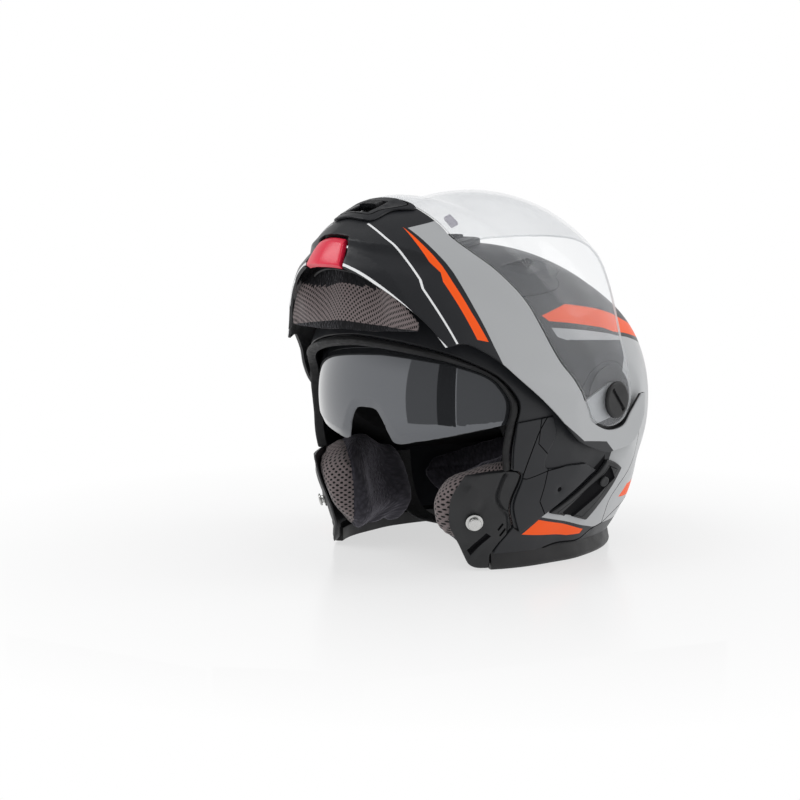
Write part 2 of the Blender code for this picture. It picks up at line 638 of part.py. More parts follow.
CURTAIN_TOP = [(68.0, -41.4, -4.6), (72.0, -38.2, -4.8), (76.0, -35.2, -7.5), (80.5, -31.4, -17.0),
               (85.0, -29.4, -18.6), (MID, -29.0, -19.0)]      # (rho, alpha, out) behind the chin bar
CURTAIN_FREE = [(68.0, -43.4, -7.5), (72.0, -44.0, -14.0), (76.0, -44.4, -20.0), (80.5, -45.0, -24.0),
                (85.0, -45.2, -27.0), (MID, -45.2, -28.0)]     # its free edge, toward the throat
CURTAIN_THICK = 2.4


def foam_depth(rho, alpha):
    return -5.0 - 13.0 * smooth(64, 73, rho)


def chin_parts(chin):
    patch("chin_bar", CHIN, CHIN_EDGE, 0, -CHIN_WALL, "chin_grey", chin, notches=[CHIN_HOLE], step=FINE)
    patch("chin_bar_liner", CHIN, CHIN_FOAM, -CHIN_WALL - 2 * GAP, foam_depth, "foam_black", chin,
          step=FINE)
    chin_curtain(chin)
    patch("chin_vent_cover", CHIN, CHIN_VENT, 2.8, 2 * GAP, "chin_grey", chin, notches=[CHIN_SLOT],
          step=FINE)
    patch("release_housing", CHIN, [(MID, -28.4, 1), (82, -28.4, 1), (81, -34.0, 1), (MID, -34.0, 1)],
          -13.4, -15.0, "cover_black", chin, step=FINE)


def chin_curtain(chin):
    """The mesh curtain that hangs behind the lower edge of the chin bar, right to left."""
    rows = []
    for edge in (CURTAIN_TOP, CURTAIN_FREE):
        half = [CHIN.point(*spot) for spot in edge]
        half[-1].x = 0.0
        rows.append([Vector((-p.x, p.y, p.z)) for p in half] + half[-2::-1])
    sections = []
    for k, (top, free) in enumerate(zip(*rows)):
        along = rows[0][min(k + 1, len(rows[0]) - 1)] - rows[0][max(k - 1, 0)]
        half = along.cross(free - top).normalized() * CURTAIN_THICK / 2
        sections.append([top - half, free - half, free + half, top + half])
    loft("chin_curtain", sections, "fabric_grey", chin)


def release_parts(chin):
    patch("release_button", CHIN, [(MID, -28.2, 1), (87.0, -28.2, 1), (85.3, -34.6, 1), (MID, -34.9, 1)],
          0, -5.0, "button_red", chin, step=FINE)
    hook = [(62.4, -36.0, 1), (66.0, -36.0, 1), (66.0, -40.0, 1), (62.4, -41.0, 1)]
    patch("latch_hook", CHIN, hook, -3.6, -9.0, "steel", chin, side="both", step=FINE)


# ---------------------------------------------------------------- vents' sliders

def vent_sliders(frame, chin):
    tab = [(MID, 71.8, 1), (86.6, 71.8, 1), (86.6, 74.0, 1), (MID, 74.0, 1)]
    patch("top_vent_slider", SHELL, tab, 6.6, GAP, "cover_black", frame, step=FINE)
    tab = [(MID, -16.6, 1), (87.6, -16.6, 1), (87.6, -14.4, 1), (MID, -14.4, 1)]
    patch("chin_vent_slider", CHIN, tab, 4.4, GAP, "cover_black", chin, step=FINE)


# ---------------------------------------------------------------- the visor

VISOR_EDGE = [(MID, -10.0, 1), (74, -14.0), (68.7, -16.3), (63.2, -17.0), (56, -17.3), (46.2, -19.2),
              (38.0, -23.8), (27.9, -33.6), (20.4, -42.6), (13.9, -71.8), (12.6, -91.7), (9.2, -131.7),
              (8.2, -180), (8.2, -215), (9.0, -250), (13.8, -306), (21, -321), (32, -323), (44, -320),
              (56, -315), (68, -310.5), (80, -307), (MID, -306, 1), (MID, -330), (MID, -350)]


def visor_parts(visor):
    patch("visor", CHIN, VISOR_EDGE, 0, -VISOR_WALL, "clear_visor", visor,
          holes=[circle(4.5, sides=12)])
    tab = [(72.5, -13.2, 1), (70.0, -14.4, 1), (69.4, -12.4, 1), (72.0, -11.4, 1)]
    patch("visor_lift_tab", CHIN, tab, 4.0, GAP, "cover_black", visor, side="left", step=FINE)


# ---------------------------------------------------------------- the chin strap

STRAP_Y = 12.0
STRAP_WIDTH, STRAP_THICK = 20.0, 1.6
STRAP_DROP = [(104, -62), (102, -80), (97, -98), (89, -111), (76, -117), (62, -118)]
STRAP_LOW = STRAP_DROP[-1][1]
BUCKLE = (12.0, 46.0)            # the ratchet buckle's ends along X
LEVER_HINGE = (40.0, STRAP_Y, -113.9)


def block(name, low, high, material, parent):
    """A box between two corners, its edges slightly rounded."""
    mesh = bmesh.new()
    bmesh.ops.create_cube(mesh, size=1.0)
    low, high = Vector(low), Vector(high)
    for vert in mesh.verts:
        vert.co = Vector([(a + b) / 2 + c * (b - a) for a, b, c in zip(low, high, vert.co)]) * MM
    box = finish(name, mesh, material, parent)
    bevel = box.modifiers.new("rounded", "BEVEL")
    bevel.width = 0.5 * MM
    bevel.segments = 1
    return box


def strap_parts(frame):
    for name, sign, end in (("chin_strap_left", 1, BUCKLE[1] + 1), ("chin_strap_right", -1, -8)):
        path = [(sign * x, STRAP_Y, z) for x, z in STRAP_DROP] + [(sign * end, STRAP_Y, STRAP_LOW)]
        loft(name, ribbon(path, STRAP_WIDTH, STRAP_THICK), "webbing_black", frame)
    near, far = STRAP_Y - 12, STRAP_Y + 12
    block("ratchet_strip", (8.6, near + 3, STRAP_LOW - 0.8), (39, far - 3, STRAP_LOW + 0.8), "cover_black",
          frame)
    block("strap_buckle", (BUCKLE[0], near, STRAP_LOW - 3.6), (BUCKLE[1], far, STRAP_LOW - 1.2), "steel",
          frame)
    block("buckle_lever", (BUCKLE[0] + 2, near + 1, STRAP_LOW + 1.2), (LEVER_HINGE[0] + 3, far - 1, -114.2),
          "cover_black", frame)
    spot = Vector((104.9, STRAP_Y, -66))
    turned("strap_rivet", [(0, 0), (4.5, 0), (4.5, 1.6), (2.4, 2.6), (2.4, 4.6), (0, 4.6)], spot,
           (0.98, 0, -0.2), "steel", frame, sides=12)


# ---------------------------------------------------------------- assembly

def empty(name, parent, location=(0, 0, 0), turn=0.0):
    axis = bpy.data.objects.new(name, None)
    axis.parent = parent
    axis.location = Vector(location) * MM
    axis.rotation_euler = (turn, 0, 0)
    HELMET.objects.link(axis)
    return axis


for old in list(bpy.data.objects):
    bpy.data.objects.remove(old)
HELMET = bpy.data.collections.new("motorcycle_helmet")
bpy.context.scene.collection.children.link(HELMET)
for title, (colour, roughness, metallic) in MATERIALS.items():
    look = bpy.data.materials.new(title)
    look.use_nodes = True
    shader = look.node_tree.nodes["Principled BSDF"]
    shader.inputs["Base Color"].default_value = (*colour, 1)
    shader.inputs["Roughness"].default_value = roughness
    shader.inputs["Metallic"].default_value = metallic

pivot = empty("pivot_axis", None, (0, PIVOT_Y, PIVOT_Z))
chin_axis = empty("chin_bar_axis", pivot, turn=-CHIN_OPEN)
sun_axis = empty("sun_visor_axis", pivot, (0, SUN_Y, 0))

shell_parts(pivot)
slider_knob(pivot)
lining_parts(pivot)
sun_visor_parts(pivot, sun_axis)
hinge_parts(pivot, chin_axis)
chin_parts(chin_axis)
release_parts(chin_axis)
vent_sliders(pivot, chin_axis)
visor_parts(chin_axis)
strap_parts(pivot)
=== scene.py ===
"""Looks for the modular motorcycle helmet: chin bar raised, sun visor down, on a white studio floor.

Each curved piece is rebuilt finer over its CAD node, on the same rounded bodies. A point of a body is a
direction from the chin bar's pivot: rho is the angle from the pivot axis (+X, the wearer's left), alpha
the angle round that axis, 0 straight ahead, 90 up, 180 back. Outlines and graphics are (rho, alpha) in
degrees on the wearer's left, and lengths are millimetres until a mesh is made. The chin bar and the
visor are drawn closed and then turned up, as in the CAD.
"""

import json
import math

import bmesh
import bpy
import numpy as np
from mathutils import Matrix, Vector
from mathutils.geometry import delaunay_2d_cdt


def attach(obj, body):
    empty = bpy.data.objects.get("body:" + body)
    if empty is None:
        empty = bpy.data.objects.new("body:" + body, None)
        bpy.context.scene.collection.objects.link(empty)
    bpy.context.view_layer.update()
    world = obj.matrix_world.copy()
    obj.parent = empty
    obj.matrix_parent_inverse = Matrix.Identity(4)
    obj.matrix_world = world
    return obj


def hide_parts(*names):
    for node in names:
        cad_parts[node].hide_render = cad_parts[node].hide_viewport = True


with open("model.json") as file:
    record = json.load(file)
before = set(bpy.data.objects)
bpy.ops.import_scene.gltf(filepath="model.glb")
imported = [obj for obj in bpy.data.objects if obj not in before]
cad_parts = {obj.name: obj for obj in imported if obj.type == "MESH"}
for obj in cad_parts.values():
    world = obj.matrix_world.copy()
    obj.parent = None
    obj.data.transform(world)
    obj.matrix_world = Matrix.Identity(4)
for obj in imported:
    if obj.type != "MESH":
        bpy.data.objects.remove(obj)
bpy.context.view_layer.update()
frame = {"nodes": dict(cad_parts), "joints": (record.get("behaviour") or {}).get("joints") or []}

MM = 0.001
MID = 90.0                       # rho of the mid-plane
GAP = 0.4                        # clearance between touching pieces
JOINTS = {joint["name"]: joint for joint in frame["joints"]}
PIVOT = Vector(JOINTS["chin_bar_hinge"]["pos_m"])
CHIN_OPEN = math.radians(JOINTS["chin_bar_hinge"]["range_deg"][1])
FLOOR = -PIVOT.z / MM            # the rim stands here, below the pivot
SHELL_EDGE = -113.5              # the lower edge of the hard shell
SHELL_WALL, CHIN_WALL, VISOR_WALL = 3.5, 2.6, 2.2
SHELL_FLAT, CHIN_FLAT = 124.5, 131.5


# ---------------------------------------------------------------- rounded bodies

class Curve:
    """Smooth curve through (x, value) knots: cubic pieces with averaged slopes."""

    def __init__(self, knots, period=None):
        xs, ys = [k[0] for k in knots], [k[1] for k in knots]
        self.start, self.period = knots[0][0], period
        if period:
            xs = [xs[-1] - period] + xs + [xs[0] + period, xs[1] + period]
            ys = [ys[-1]] + ys + [ys[0], ys[1]]
        self.xs, self.ys = np.array(xs, float), np.array(ys, float)
        slopes = np.diff(self.ys) / np.diff(self.xs) if len(xs) > 1 else np.zeros(1)
        middle = (slopes[:-1] + slopes[1:]) / 2
        self.slopes = np.concatenate([slopes[:1], middle, slopes[-1:]])

    def __call__(self, at):
        at = np.asarray(at, float)
        if len(self.xs) == 1:
            return np.full(at.shape, self.ys[0])
        if self.period:
            at = (at - self.start) % self.period + self.start
        at = np.clip(at, self.xs[0], self.xs[-1])
        i = np.clip(np.searchsorted(self.xs, at, side="right") - 1, 0, len(self.xs) - 2)
        step = self.xs[i + 1] - self.xs[i]
        t = (at - self.xs[i]) / step
        return ((2 * t**3 - 3 * t**2 + 1) * self.ys[i] + (t**3 - 2 * t**2 + t) * step * self.slopes[i]
                + (3 * t**2 - 2 * t**3) * self.ys[i + 1] + (t**3 - t**2) * step * self.slopes[i + 1])


def smooth(low, high, value):
    t = np.clip((np.asarray(value, float) - low) / (high - low), 0, 1)
    return t * t * (3 - 2 * t)


def direction(rho, alpha):
    r, a = np.radians(rho), np.radians(alpha)
    return np.stack([np.cos(r), -np.sin(r) * np.cos(a), np.sin(r) * np.sin(a)], -1)


def half_turn(alpha):
    return (np.asarray(alpha, float) + 180) % 360 - 180


class Body:
    """A rounded body about the X axis: half_width at the sides, profile on the mid-plane."""

    def __init__(self, half_width, profile, power=((0, 2.0),), flat=None, centre=(0, 0, 0), flare=0.0,
                 recess=None):
        self.half_width, self.flat, self.flare, self.recess = half_width, flat, flare, recess
        self.profile, self.power = Curve(profile, 360), Curve(power)
        self.centre = np.array(centre, float)

    def points(self, rho, alpha, out=0.0):
        """The body's points in some directions, moved out by that many millimetres."""
        rho, alpha = np.asarray(rho, float), np.asarray(alpha, float)
        ray, turn = direction(rho, alpha), half_turn(alpha)
        power = self.power(turn)
        if self.recess:
            out = out - self.recess(rho, turn)
        side = np.abs(ray[..., 0]) / (self.half_width + out)
        ring = np.hypot(ray[..., 1], ray[..., 2]) / (self.profile(alpha) + out)
        spots = ray / ((side**power + ring**power) ** (1 / power))[..., None]
        if self.flare:
            foot = smooth(0, 1, (-104 - spots[..., 2]) / 21) * smooth(-100, -70, turn) * (turn < 0)
            spots = spots * (1 + self.flare * foot)[..., None]
        if self.flat:
            limit = self.flat + out
            over = spots[..., 0] > limit
            spots = spots * np.where(over, limit / np.where(over, spots[..., 0], 1), 1)[..., None]
        return spots + self.centre

    def normals(self, rho, alpha):
        here = self.points(rho, alpha)
        along, around = self.points(rho + 0.5, alpha) - here, self.points(rho, alpha + 0.5) - here
        normal = np.cross(along, around)
        normal /= np.linalg.norm(normal, axis=-1)[..., None]
        facing = np.sum(normal * direction(rho, alpha), -1)
        return normal * np.where(facing > 0, 1, -1)[..., None]

    def rho_at_height(self, alpha, height):
        """The rho at which the body, below the pivot, reaches a height."""
        low, high = 5.0, MID
        for _ in range(40):
            rho = (low + high) / 2
            low, high = (rho, high) if self.points(rho, alpha)[2] > height else (low, rho)
        return (low + high) / 2


def arm_recess(rho, turn):
    """The shell steps in where the closed visor and the arms of the closed chin bar lie on it."""
    visor = 1.3 * (1 - smooth(44, 60, turn)) * smooth(8, 14, rho) * (1 - smooth(42, 55, rho))
    arm = smooth(-88, -70, turn) * (1 - smooth(-14, 4, turn)) * smooth(16, 26, rho)
    return visor * smooth(-100, -88, turn) + arm * (3.0 - 1.6 * smooth(50, 60, rho))


SHELL = Body(131.0, [(-108, 168.5), (-90, 177), (-75, 183), (-60, 186), (-46, 179), (-38, 171), (-28, 168),
                     (0, 162), (15, 158), (35, 151), (60, 132), (90, 117), (120, 115), (150, 128),
                     (180, 135.5), (200, 139), (218, 142), (232, 157), (240, 163)],
             flat=SHELL_FLAT, flare=0.065, recess=arm_recess)
CHIN = Body(135.0, [(-60, 205), (-47, 200), (-34, 214), (-24, 208), (-14, 193), (-8, 187), (-2, 174),
                    (4, 167), (12, 164), (20, 161.5), (40, 152), (56, 141), (90, 150), (180, 190),
                    (250, 205)],
            power=((-60, 2.04), (-30, 1.63), (-10, 2.0), (60, 2.0)), flat=CHIN_FLAT)
SUN_Y = -22.0                    # the sun visor's own axis, ahead of the pivot
SUN = Body(118.0, [(0, 117), (120, 117), (240, 117)], power=((0, 2.1),))
SUN_AT = (0, SUN_Y, 0)


# ---------------------------------------------------------------- outlines on the disc

def on_disc(rho, alpha):
    a = np.radians(alpha)
    return np.stack([rho * np.cos(a), rho * np.sin(a)], -1)


def from_disc(spots):
    return np.hypot(spots[..., 0], spots[..., 1]), np.degrees(np.arctan2(spots[..., 1], spots[..., 0]))


def outline(points, step, closed=True):
    """Points along an outline on the disc. A third value marks a corner; two mid-plane points join by an
    arc; every other stretch is a smooth curve."""
    points = list(points)
    if closed:
        first = next((i for i, p in enumerate(points) if len(p) > 2), 0)
        points = points[first:] + points[:first]
    spots = [on_disc(p[0], p[1]) for p in points]
    corner = [len(p) > 2 for p in points]
    loose = closed and not any(corner)
    count = len(points)
    path = []
    for i in range(count if closed else count - 1):
        j = (i + 1) % count
        if closed and points[i][0] == MID and points[j][0] == MID:
            turn = half_turn(points[j][1] - points[i][1])
            pieces = max(1, math.ceil(abs(math.radians(turn)) * MID / step))
            path += [on_disc(MID, points[i][1] + turn * k / pieces) for k in range(pieces)]
            continue
        start_free = loose or not (corner[i] or (not closed and i == 0))
        end_free = loose or not (corner[j] or (not closed and j == count - 1))
        before = spots[i - 1] if start_free else spots[i]
        after = spots[(j + 1) % count] if end_free else spots[j]
        pieces = max(1, math.ceil(np.linalg.norm(spots[j] - spots[i]) / step))
        near, far = (spots[j] - before) / 2, (after - spots[i]) / 2
        if corner[i] and corner[j]:
            near = far = spots[j] - spots[i]
        for k in range(pieces):
            t = k / pieces
            path.append((2 * t**3 - 3 * t**2 + 1) * spots[i] + (t**3 - 2 * t**2 + t) * near
                        + (3 * t**2 - 2 * t**3) * spots[j] + (t**3 - t**2) * far)
    if not closed:
        path.append(spots[-1])
    return np.array(path)


def cornered(points):
    """The same outline with straight sides."""
    return [(p[0], p[1], 1) for p in points]


def circle(radius, rho=0.0, alpha=0.0, sides=40):
    turns = 360 * np.arange(sides) / sides
    rho, alpha = from_disc(on_disc(rho, alpha) + on_disc(radius, turns))
    return list(zip(rho, alpha))


def notched(points, notch):
    """The outline with a notch cut from its mid-plane side: half of an opening across the mid-plane."""
    count = len(points)
    for i in range(count):
        a, b = points[i], points[(i + 1) % count]
        if a[0] != MID or b[0] != MID:
            continue
        first, last = notch[0][1], notch[-1][1]
        for turned_over in (0, 360, -360):
            low, high = sorted((first + turned_over, last + turned_over))
            if min(a[1], b[1]) < low and high < max(a[1], b[1]):
                moved = [(p[0], p[1] + turned_over, 1) for p in notch]
                if (moved[0][1] < moved[-1][1]) != (a[1] < b[1]):
                    moved.reverse()
                return [*points[:i], (a[0], a[1], 1), *moved, *points[i + 1:]]
    raise ValueError("the notch is off the mid-plane side")


def inside(spots, path):
    """Which spots lie inside a closed path."""
    hit = np.zeros(len(spots), bool)
    for a, b in zip(path, np.roll(path, -1, axis=0)):
        if a[1] != b[1]:
            crosses = (a[1] > spots[:, 1]) != (b[1] > spots[:, 1])
            hit ^= crosses & (spots[:, 0] < (b[0] - a[0]) * (spots[:, 1] - a[1]) / (b[1] - a[1]) + a[0])
    return hit


def away(spots, starts, ends):
    """Distance from each spot to the nearest of some segments, and on which side of it the spot is."""
    best, sign = np.full(len(spots), 1e9), np.ones(len(spots))
    for a, b in zip(starts, ends):
        along = b - a
        size = max(along @ along, 1e-12)
        t = np.clip((spots - a) @ along / size, 0, 1)
        gap = spots - a - t[:, None] * along
        far = np.hypot(gap[:, 0], gap[:, 1])
        nearer = far < best
        best[nearer] = far[nearer]
        sign[nearer] = np.sign(along[0] * gap[:, 1] - along[1] * gap[:, 0])[nearer]
    return best, sign


def beside(spots, path, closed=False):
    """Distance to a path, above 0 on its left."""
    ends = np.roll(path, -1, axis=0) if closed else path[1:]
    return away(spots, path if closed else path[:-1], ends)


def parallel(path, offset, closed):
    """The path moved sideways by an offset, to its left."""
    if closed:
        ahead = np.roll(path, -1, axis=0) - np.roll(path, 1, axis=0)
    else:
        ahead = np.gradient(path, axis=0)
    ahead /= np.maximum(np.hypot(ahead[:, 0], ahead[:, 1]), 1e-9)[:, None]
    return path + offset * np.stack([-ahead[:, 1], ahead[:, 0]], -1)


# ---------------------------------------------------------------- fine patches

ROUND_ROWS = (0.08, 0.3, 1.0, 1.9)   # rows of points along a rounded rim, as shares of its width
RIM_CLEAR = 2.2                  # no lattice point is nearer the rim, in the same shares
CROWDED = 0.06                   # degrees; a free point this near a fixed one is left out
LEAST_WALL = 0.15                # millimetres between a patch's skins


def rim_fall(share):
    """How far a rounded rim falls, as a share of its radius, at a share of its width from the edge."""
    return 1 - np.sqrt(1 - (1 - np.clip(share, 0, 1)) ** 2)


class Groove:
    """A channel cut along a path. half is its half width in degrees, depth in millimetres; look is the
    material of its faces, and bowl makes its section round."""

    def __init__(self, points, half=0.22, depth=0.9, look=None, closed=False, bowl=False, step=1.0):
        self.path = outline(points, step, closed)
        self.half, self.depth, self.look, self.closed, self.bowl = half, depth, look, closed, bowl

    def rows(self):
        shares = (-1, -0.6, 0, 0.6, 1) if self.bowl else (-1, 0, 1)
        return [parallel(self.path, share * self.half, self.closed) for share in shares]

    def cut(self, spots):
        share = np.clip(beside(spots, self.path, self.closed)[0] / self.half, 0, 1)
        return self.depth * ((1 - share**2) ** 2 if self.bowl else 1 - share)


class Pit:
    """A sunken area: its floor is depth down, its wall leans in over lean degrees."""

    def __init__(self, points, depth=1.5, lean=0.25, look=None, wall_look=None, step=1.0):
        self.path = outline(points, step)
        self.depth, self.lean, self.look, self.wall_look = depth, lean, look, wall_look

    def loops(self):
        inward = self.lean if turns_left(self.path) else -self.lean
        return [self.path, parallel(self.path, inward, True)]

    def cut(self, spots):
        within = inside(spots, self.path)
        far = beside(spots, self.path, True)[0]
        return self.depth * np.where(within, np.clip(far / self.lean, 0, 1), 0)


def turns_left(path):
    after = np.roll(path, -1, axis=0)
    return np.sum(path[:, 0] * after[:, 1] - path[:, 1] * after[:, 0]) > 0


def lattice(path, step):
    """Evenly spread points inside a closed path."""
    low, high = path.min(0), path.max(0)
    rows = np.arange(low[1], high[1] + step, step * math.sqrt(0.75))
    cols = np.arange(low[0], high[0] + step, step)
    grid = np.array([(x + (k % 2) * step / 2, y) for k, y in enumerate(rows) for x in cols])
    return grid[inside(grid, path)]


def patch(name, body, points, top, bottom, looks, zones=(), grooves=(), pits=(), creases=(), relief=None,
          holes=(), notches=(), step=1.5, rim=(0.32, 0.8), side="middle", wall_look=0, under_look=None):
    """A closed piece between two skins of a body. top and bottom are millimetres out from the body, or
    functions of (rho, alpha). zones are (outline, look) areas of another material; creases are lines that
    the mesh follows; relief is a function of disc spots, in millimetres. rim is the width in degrees and
    the radius in millimetres of the rounded edge. side is middle, left, right or both. wall_look is the
    material of the walls, and of the lower skin too unless under_look names another."""
    for notch in notches:
        points = notched(points, notch)
    edge = outline(points, step * 0.7)
    hole_paths = [outline(hole, 0.8) for hole in holes]
    loops = [edge] + hole_paths + [outline(zone, step * 0.7) for zone, _ in zones]
    for pit in pits:
        loops += pit.loops()
    lines = [row for groove in grooves if not groove.closed for row in groove.rows()]
    loops += [row for groove in grooves if groove.closed for row in groove.rows()]
    lines += [outline(crease, step * 0.7, closed=False) for crease in creases]

    borders = []                 # the rim's segments, without those on the mid-plane
    for path in [edge] + hole_paths:
        after = np.roll(path, -1, axis=0)
        on_mid = (np.abs(np.hypot(*path.T) - MID) < 1e-3) & (np.abs(np.hypot(*after.T) - MID) < 1e-3)
        keep = ~on_mid if side == "middle" else np.ones(len(path), bool)
        borders.append((path[keep], after[keep]))
    starts = np.concatenate([b[0] for b in borders])
    ends = np.concatenate([b[1] for b in borders])

    free = [lattice(edge, step)]
    for path in [edge] + hole_paths if rim else []:
        for share in ROUND_ROWS:
            for way in (1, -1):
                row = parallel(path, way * share * rim[0], True)
                free.append(row[inside(row, edge)])
    spots, segments = [], []
    for path in loops:
        start = len(spots)
        spots += list(path)
        segments += [(start + k, start + (k + 1) % len(path)) for k in range(len(path))]
    for path in lines:
        start = len(spots)
        spots += list(path)
        segments += [(start + k, start + k + 1) for k in range(len(path) - 1)]
    fixed = np.array(spots)
    free_spots = np.concatenate(free)
    for path in hole_paths:
        free_spots = free_spots[~inside(free_spots, path)]
    if rim:                      # keep the rim's rows, but no lattice point among them
        near_rim = away(free_spots, starts, ends)[0]
        in_rows = np.arange(len(free_spots)) >= len(free[0])
        on_row = np.min([np.abs(near_rim - share * rim[0]) for share in ROUND_ROWS], axis=0) < 0.02 * rim[0]
        free_spots = free_spots[np.where(in_rows, on_row, near_rim > RIM_CLEAR * rim[0])]
    crowd = np.full(len(free_spots), 1e9)
    for start in range(0, len(fixed), 400):
        gap = free_spots[:, None, :] - fixed[None, start:start + 400, :]
        crowd = np.minimum(crowd, np.hypot(gap[..., 0], gap[..., 1]).min(1))
    free_spots = free_spots[crowd > CROWDED]
    every = [Vector(s) for s in fixed] + [Vector(s) for s in free_spots]
    found, _, faces = delaunay_2d_cdt(every, segments, [], 0, 1e-5)[:3]
    found = np.array([tuple(f) for f in found])
    faces = np.array(faces)
    middle = found[faces].mean(1)
    kept = inside(middle, edge)
    for path in hole_paths:
        kept &= ~inside(middle, path)
    faces, middle = faces[kept], middle[kept]
    used = np.unique(faces)
    index = np.full(len(found), -1)
    index[used] = np.arange(len(used))
    found, faces = found[used], index[faces]

    rho, alpha = from_disc(found)
    out = top(rho, alpha) if callable(top) else np.full(len(found), float(top))
    low = bottom(rho, alpha) if callable(bottom) else np.full(len(found), float(bottom))
    if relief:
        out = out + relief(found)
    for cutter in list(grooves) + list(pits):
        out = out - cutter.cut(found)
    if rim:
        out = out - rim[1] * rim_fall(away(found, starts, ends)[0] / rim[0])
    out = np.maximum(out, low + LEAST_WALL)
    upper, lower = body.points(rho, alpha, out), body.points(rho, alpha, low)

    look = np.zeros(len(faces), int)
    for (_, number), path in zip(zones, loops[1 + len(holes):]):
        look[inside(middle, path)] = number
    for pit in pits:
        if pit.look is not None:
            look[inside(middle, pit.loops()[1])] = pit.look
        if pit.wall_look is not None:
            look[inside(middle, pit.path) & ~inside(middle, pit.loops()[1])] = pit.wall_look
    for groove in grooves:
        if groove.look is not None:
            look[beside(middle, groove.path, groove.closed)[0] < groove.half] = groove.look

    corner = found[faces]
    first, second = corner[:, 1] - corner[:, 0], corner[:, 2] - corner[:, 0]
    flip = first[:, 0] * second[:, 1] - first[:, 1] * second[:, 0] > 0
    faces[flip] = faces[flip][:, ::-1]
    count = len(found)
    quads = []
    seen = {}
    for face in faces:
        for a, b in zip(face, np.roll(face, -1)):
            seen[(a, b)] = True
    mid = np.abs(rho - MID) < 1e-3
    for a, b in seen:
        if (b, a) not in seen and not (side == "middle" and mid[a] and mid[b]):
            quads.append((b, a, a + count, b + count))
    polygons = [tuple(f) for f in faces] + [tuple(f[::-1] + count) for f in faces] + quads
    under = np.full(len(faces), wall_look if under_look is None else under_look)
    number = np.concatenate([look, under, np.full(len(quads), wall_look)])
    verts = np.concatenate([upper, lower])
    seam = np.concatenate([mid, mid])
    if side == "middle":
        verts[seam, 0] = 0.0
        return assemble(name, verts, polygons, number, looks, mirror=seam)
    return [assemble(name + tail, verts * np.array([way, 1, 1]), polygons, number, looks, flip=way < 0)
            for tail, way in (("_left", 1), ("_right", -1)) if side in ("both", tail[1:])]


def assemble(name, verts, polygons, number, looks, mirror=None, flip=False, sharp=35.0):
    """A mesh object in the world from pivot-frame millimetres. mirror marks the mid-plane's points."""
    if mirror is not None:
        other = np.where(mirror, np.arange(len(verts)), 0)
        other[~mirror] = len(verts) + np.arange(np.count_nonzero(~mirror))
        verts = np.concatenate([verts, verts[~mirror] * np.array([-1, 1, 1])])
        polygons = polygons + [tuple(other[k] for k in reversed(p)) for p in polygons]
        number = np.concatenate([number, number])
    if flip:
        polygons = [tuple(reversed(p)) for p in polygons]
    mesh = bpy.data.meshes.new(name)
    mesh.from_pydata((verts * MM).tolist(), [], [tuple(int(k) for k in p) for p in polygons])
    for look in looks:
        mesh.materials.append(look)
    mesh.polygons.foreach_set("material_index", number.astype(np.int32))
    mesh.validate()
    mesh.shade_smooth()
    mesh.set_sharp_from_angle(angle=math.radians(sharp))
    obj = bpy.data.objects.new(name, mesh)
    bpy.context.scene.collection.objects.link(obj)
    weighted = obj.modifiers.new("even normals", "WEIGHTED_NORMAL")
    weighted.keep_sharp = True
    return obj


OPEN_TURN = Matrix.Translation(PIVOT) @ Matrix.Rotation(-CHIN_OPEN, 4, "X")
REST_TURN = Matrix.Translation(PIVOT)


def seat(pieces, body, nodes=(), raised=False):
    """Puts pieces in the world, on their CAD body, in place of CAD nodes."""
    pieces = pieces if isinstance(pieces, list) else [pieces]
    nodes = [nodes] if isinstance(nodes, str) else list(nodes)
    for k, piece in enumerate(pieces):
        piece.data.transform(OPEN_TURN if raised else REST_TURN)
        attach(piece, body)
        if len(pieces) > 1 and len(nodes) == len(pieces):
            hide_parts(nodes[k])
        elif k == 0 and nodes:
            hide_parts(*nodes)
    return pieces


# ---------------------------------------------------------------- materials

MIX_COLOURS, MIX_RESULT = (6, 7), 2      # a Mix node's colour sockets


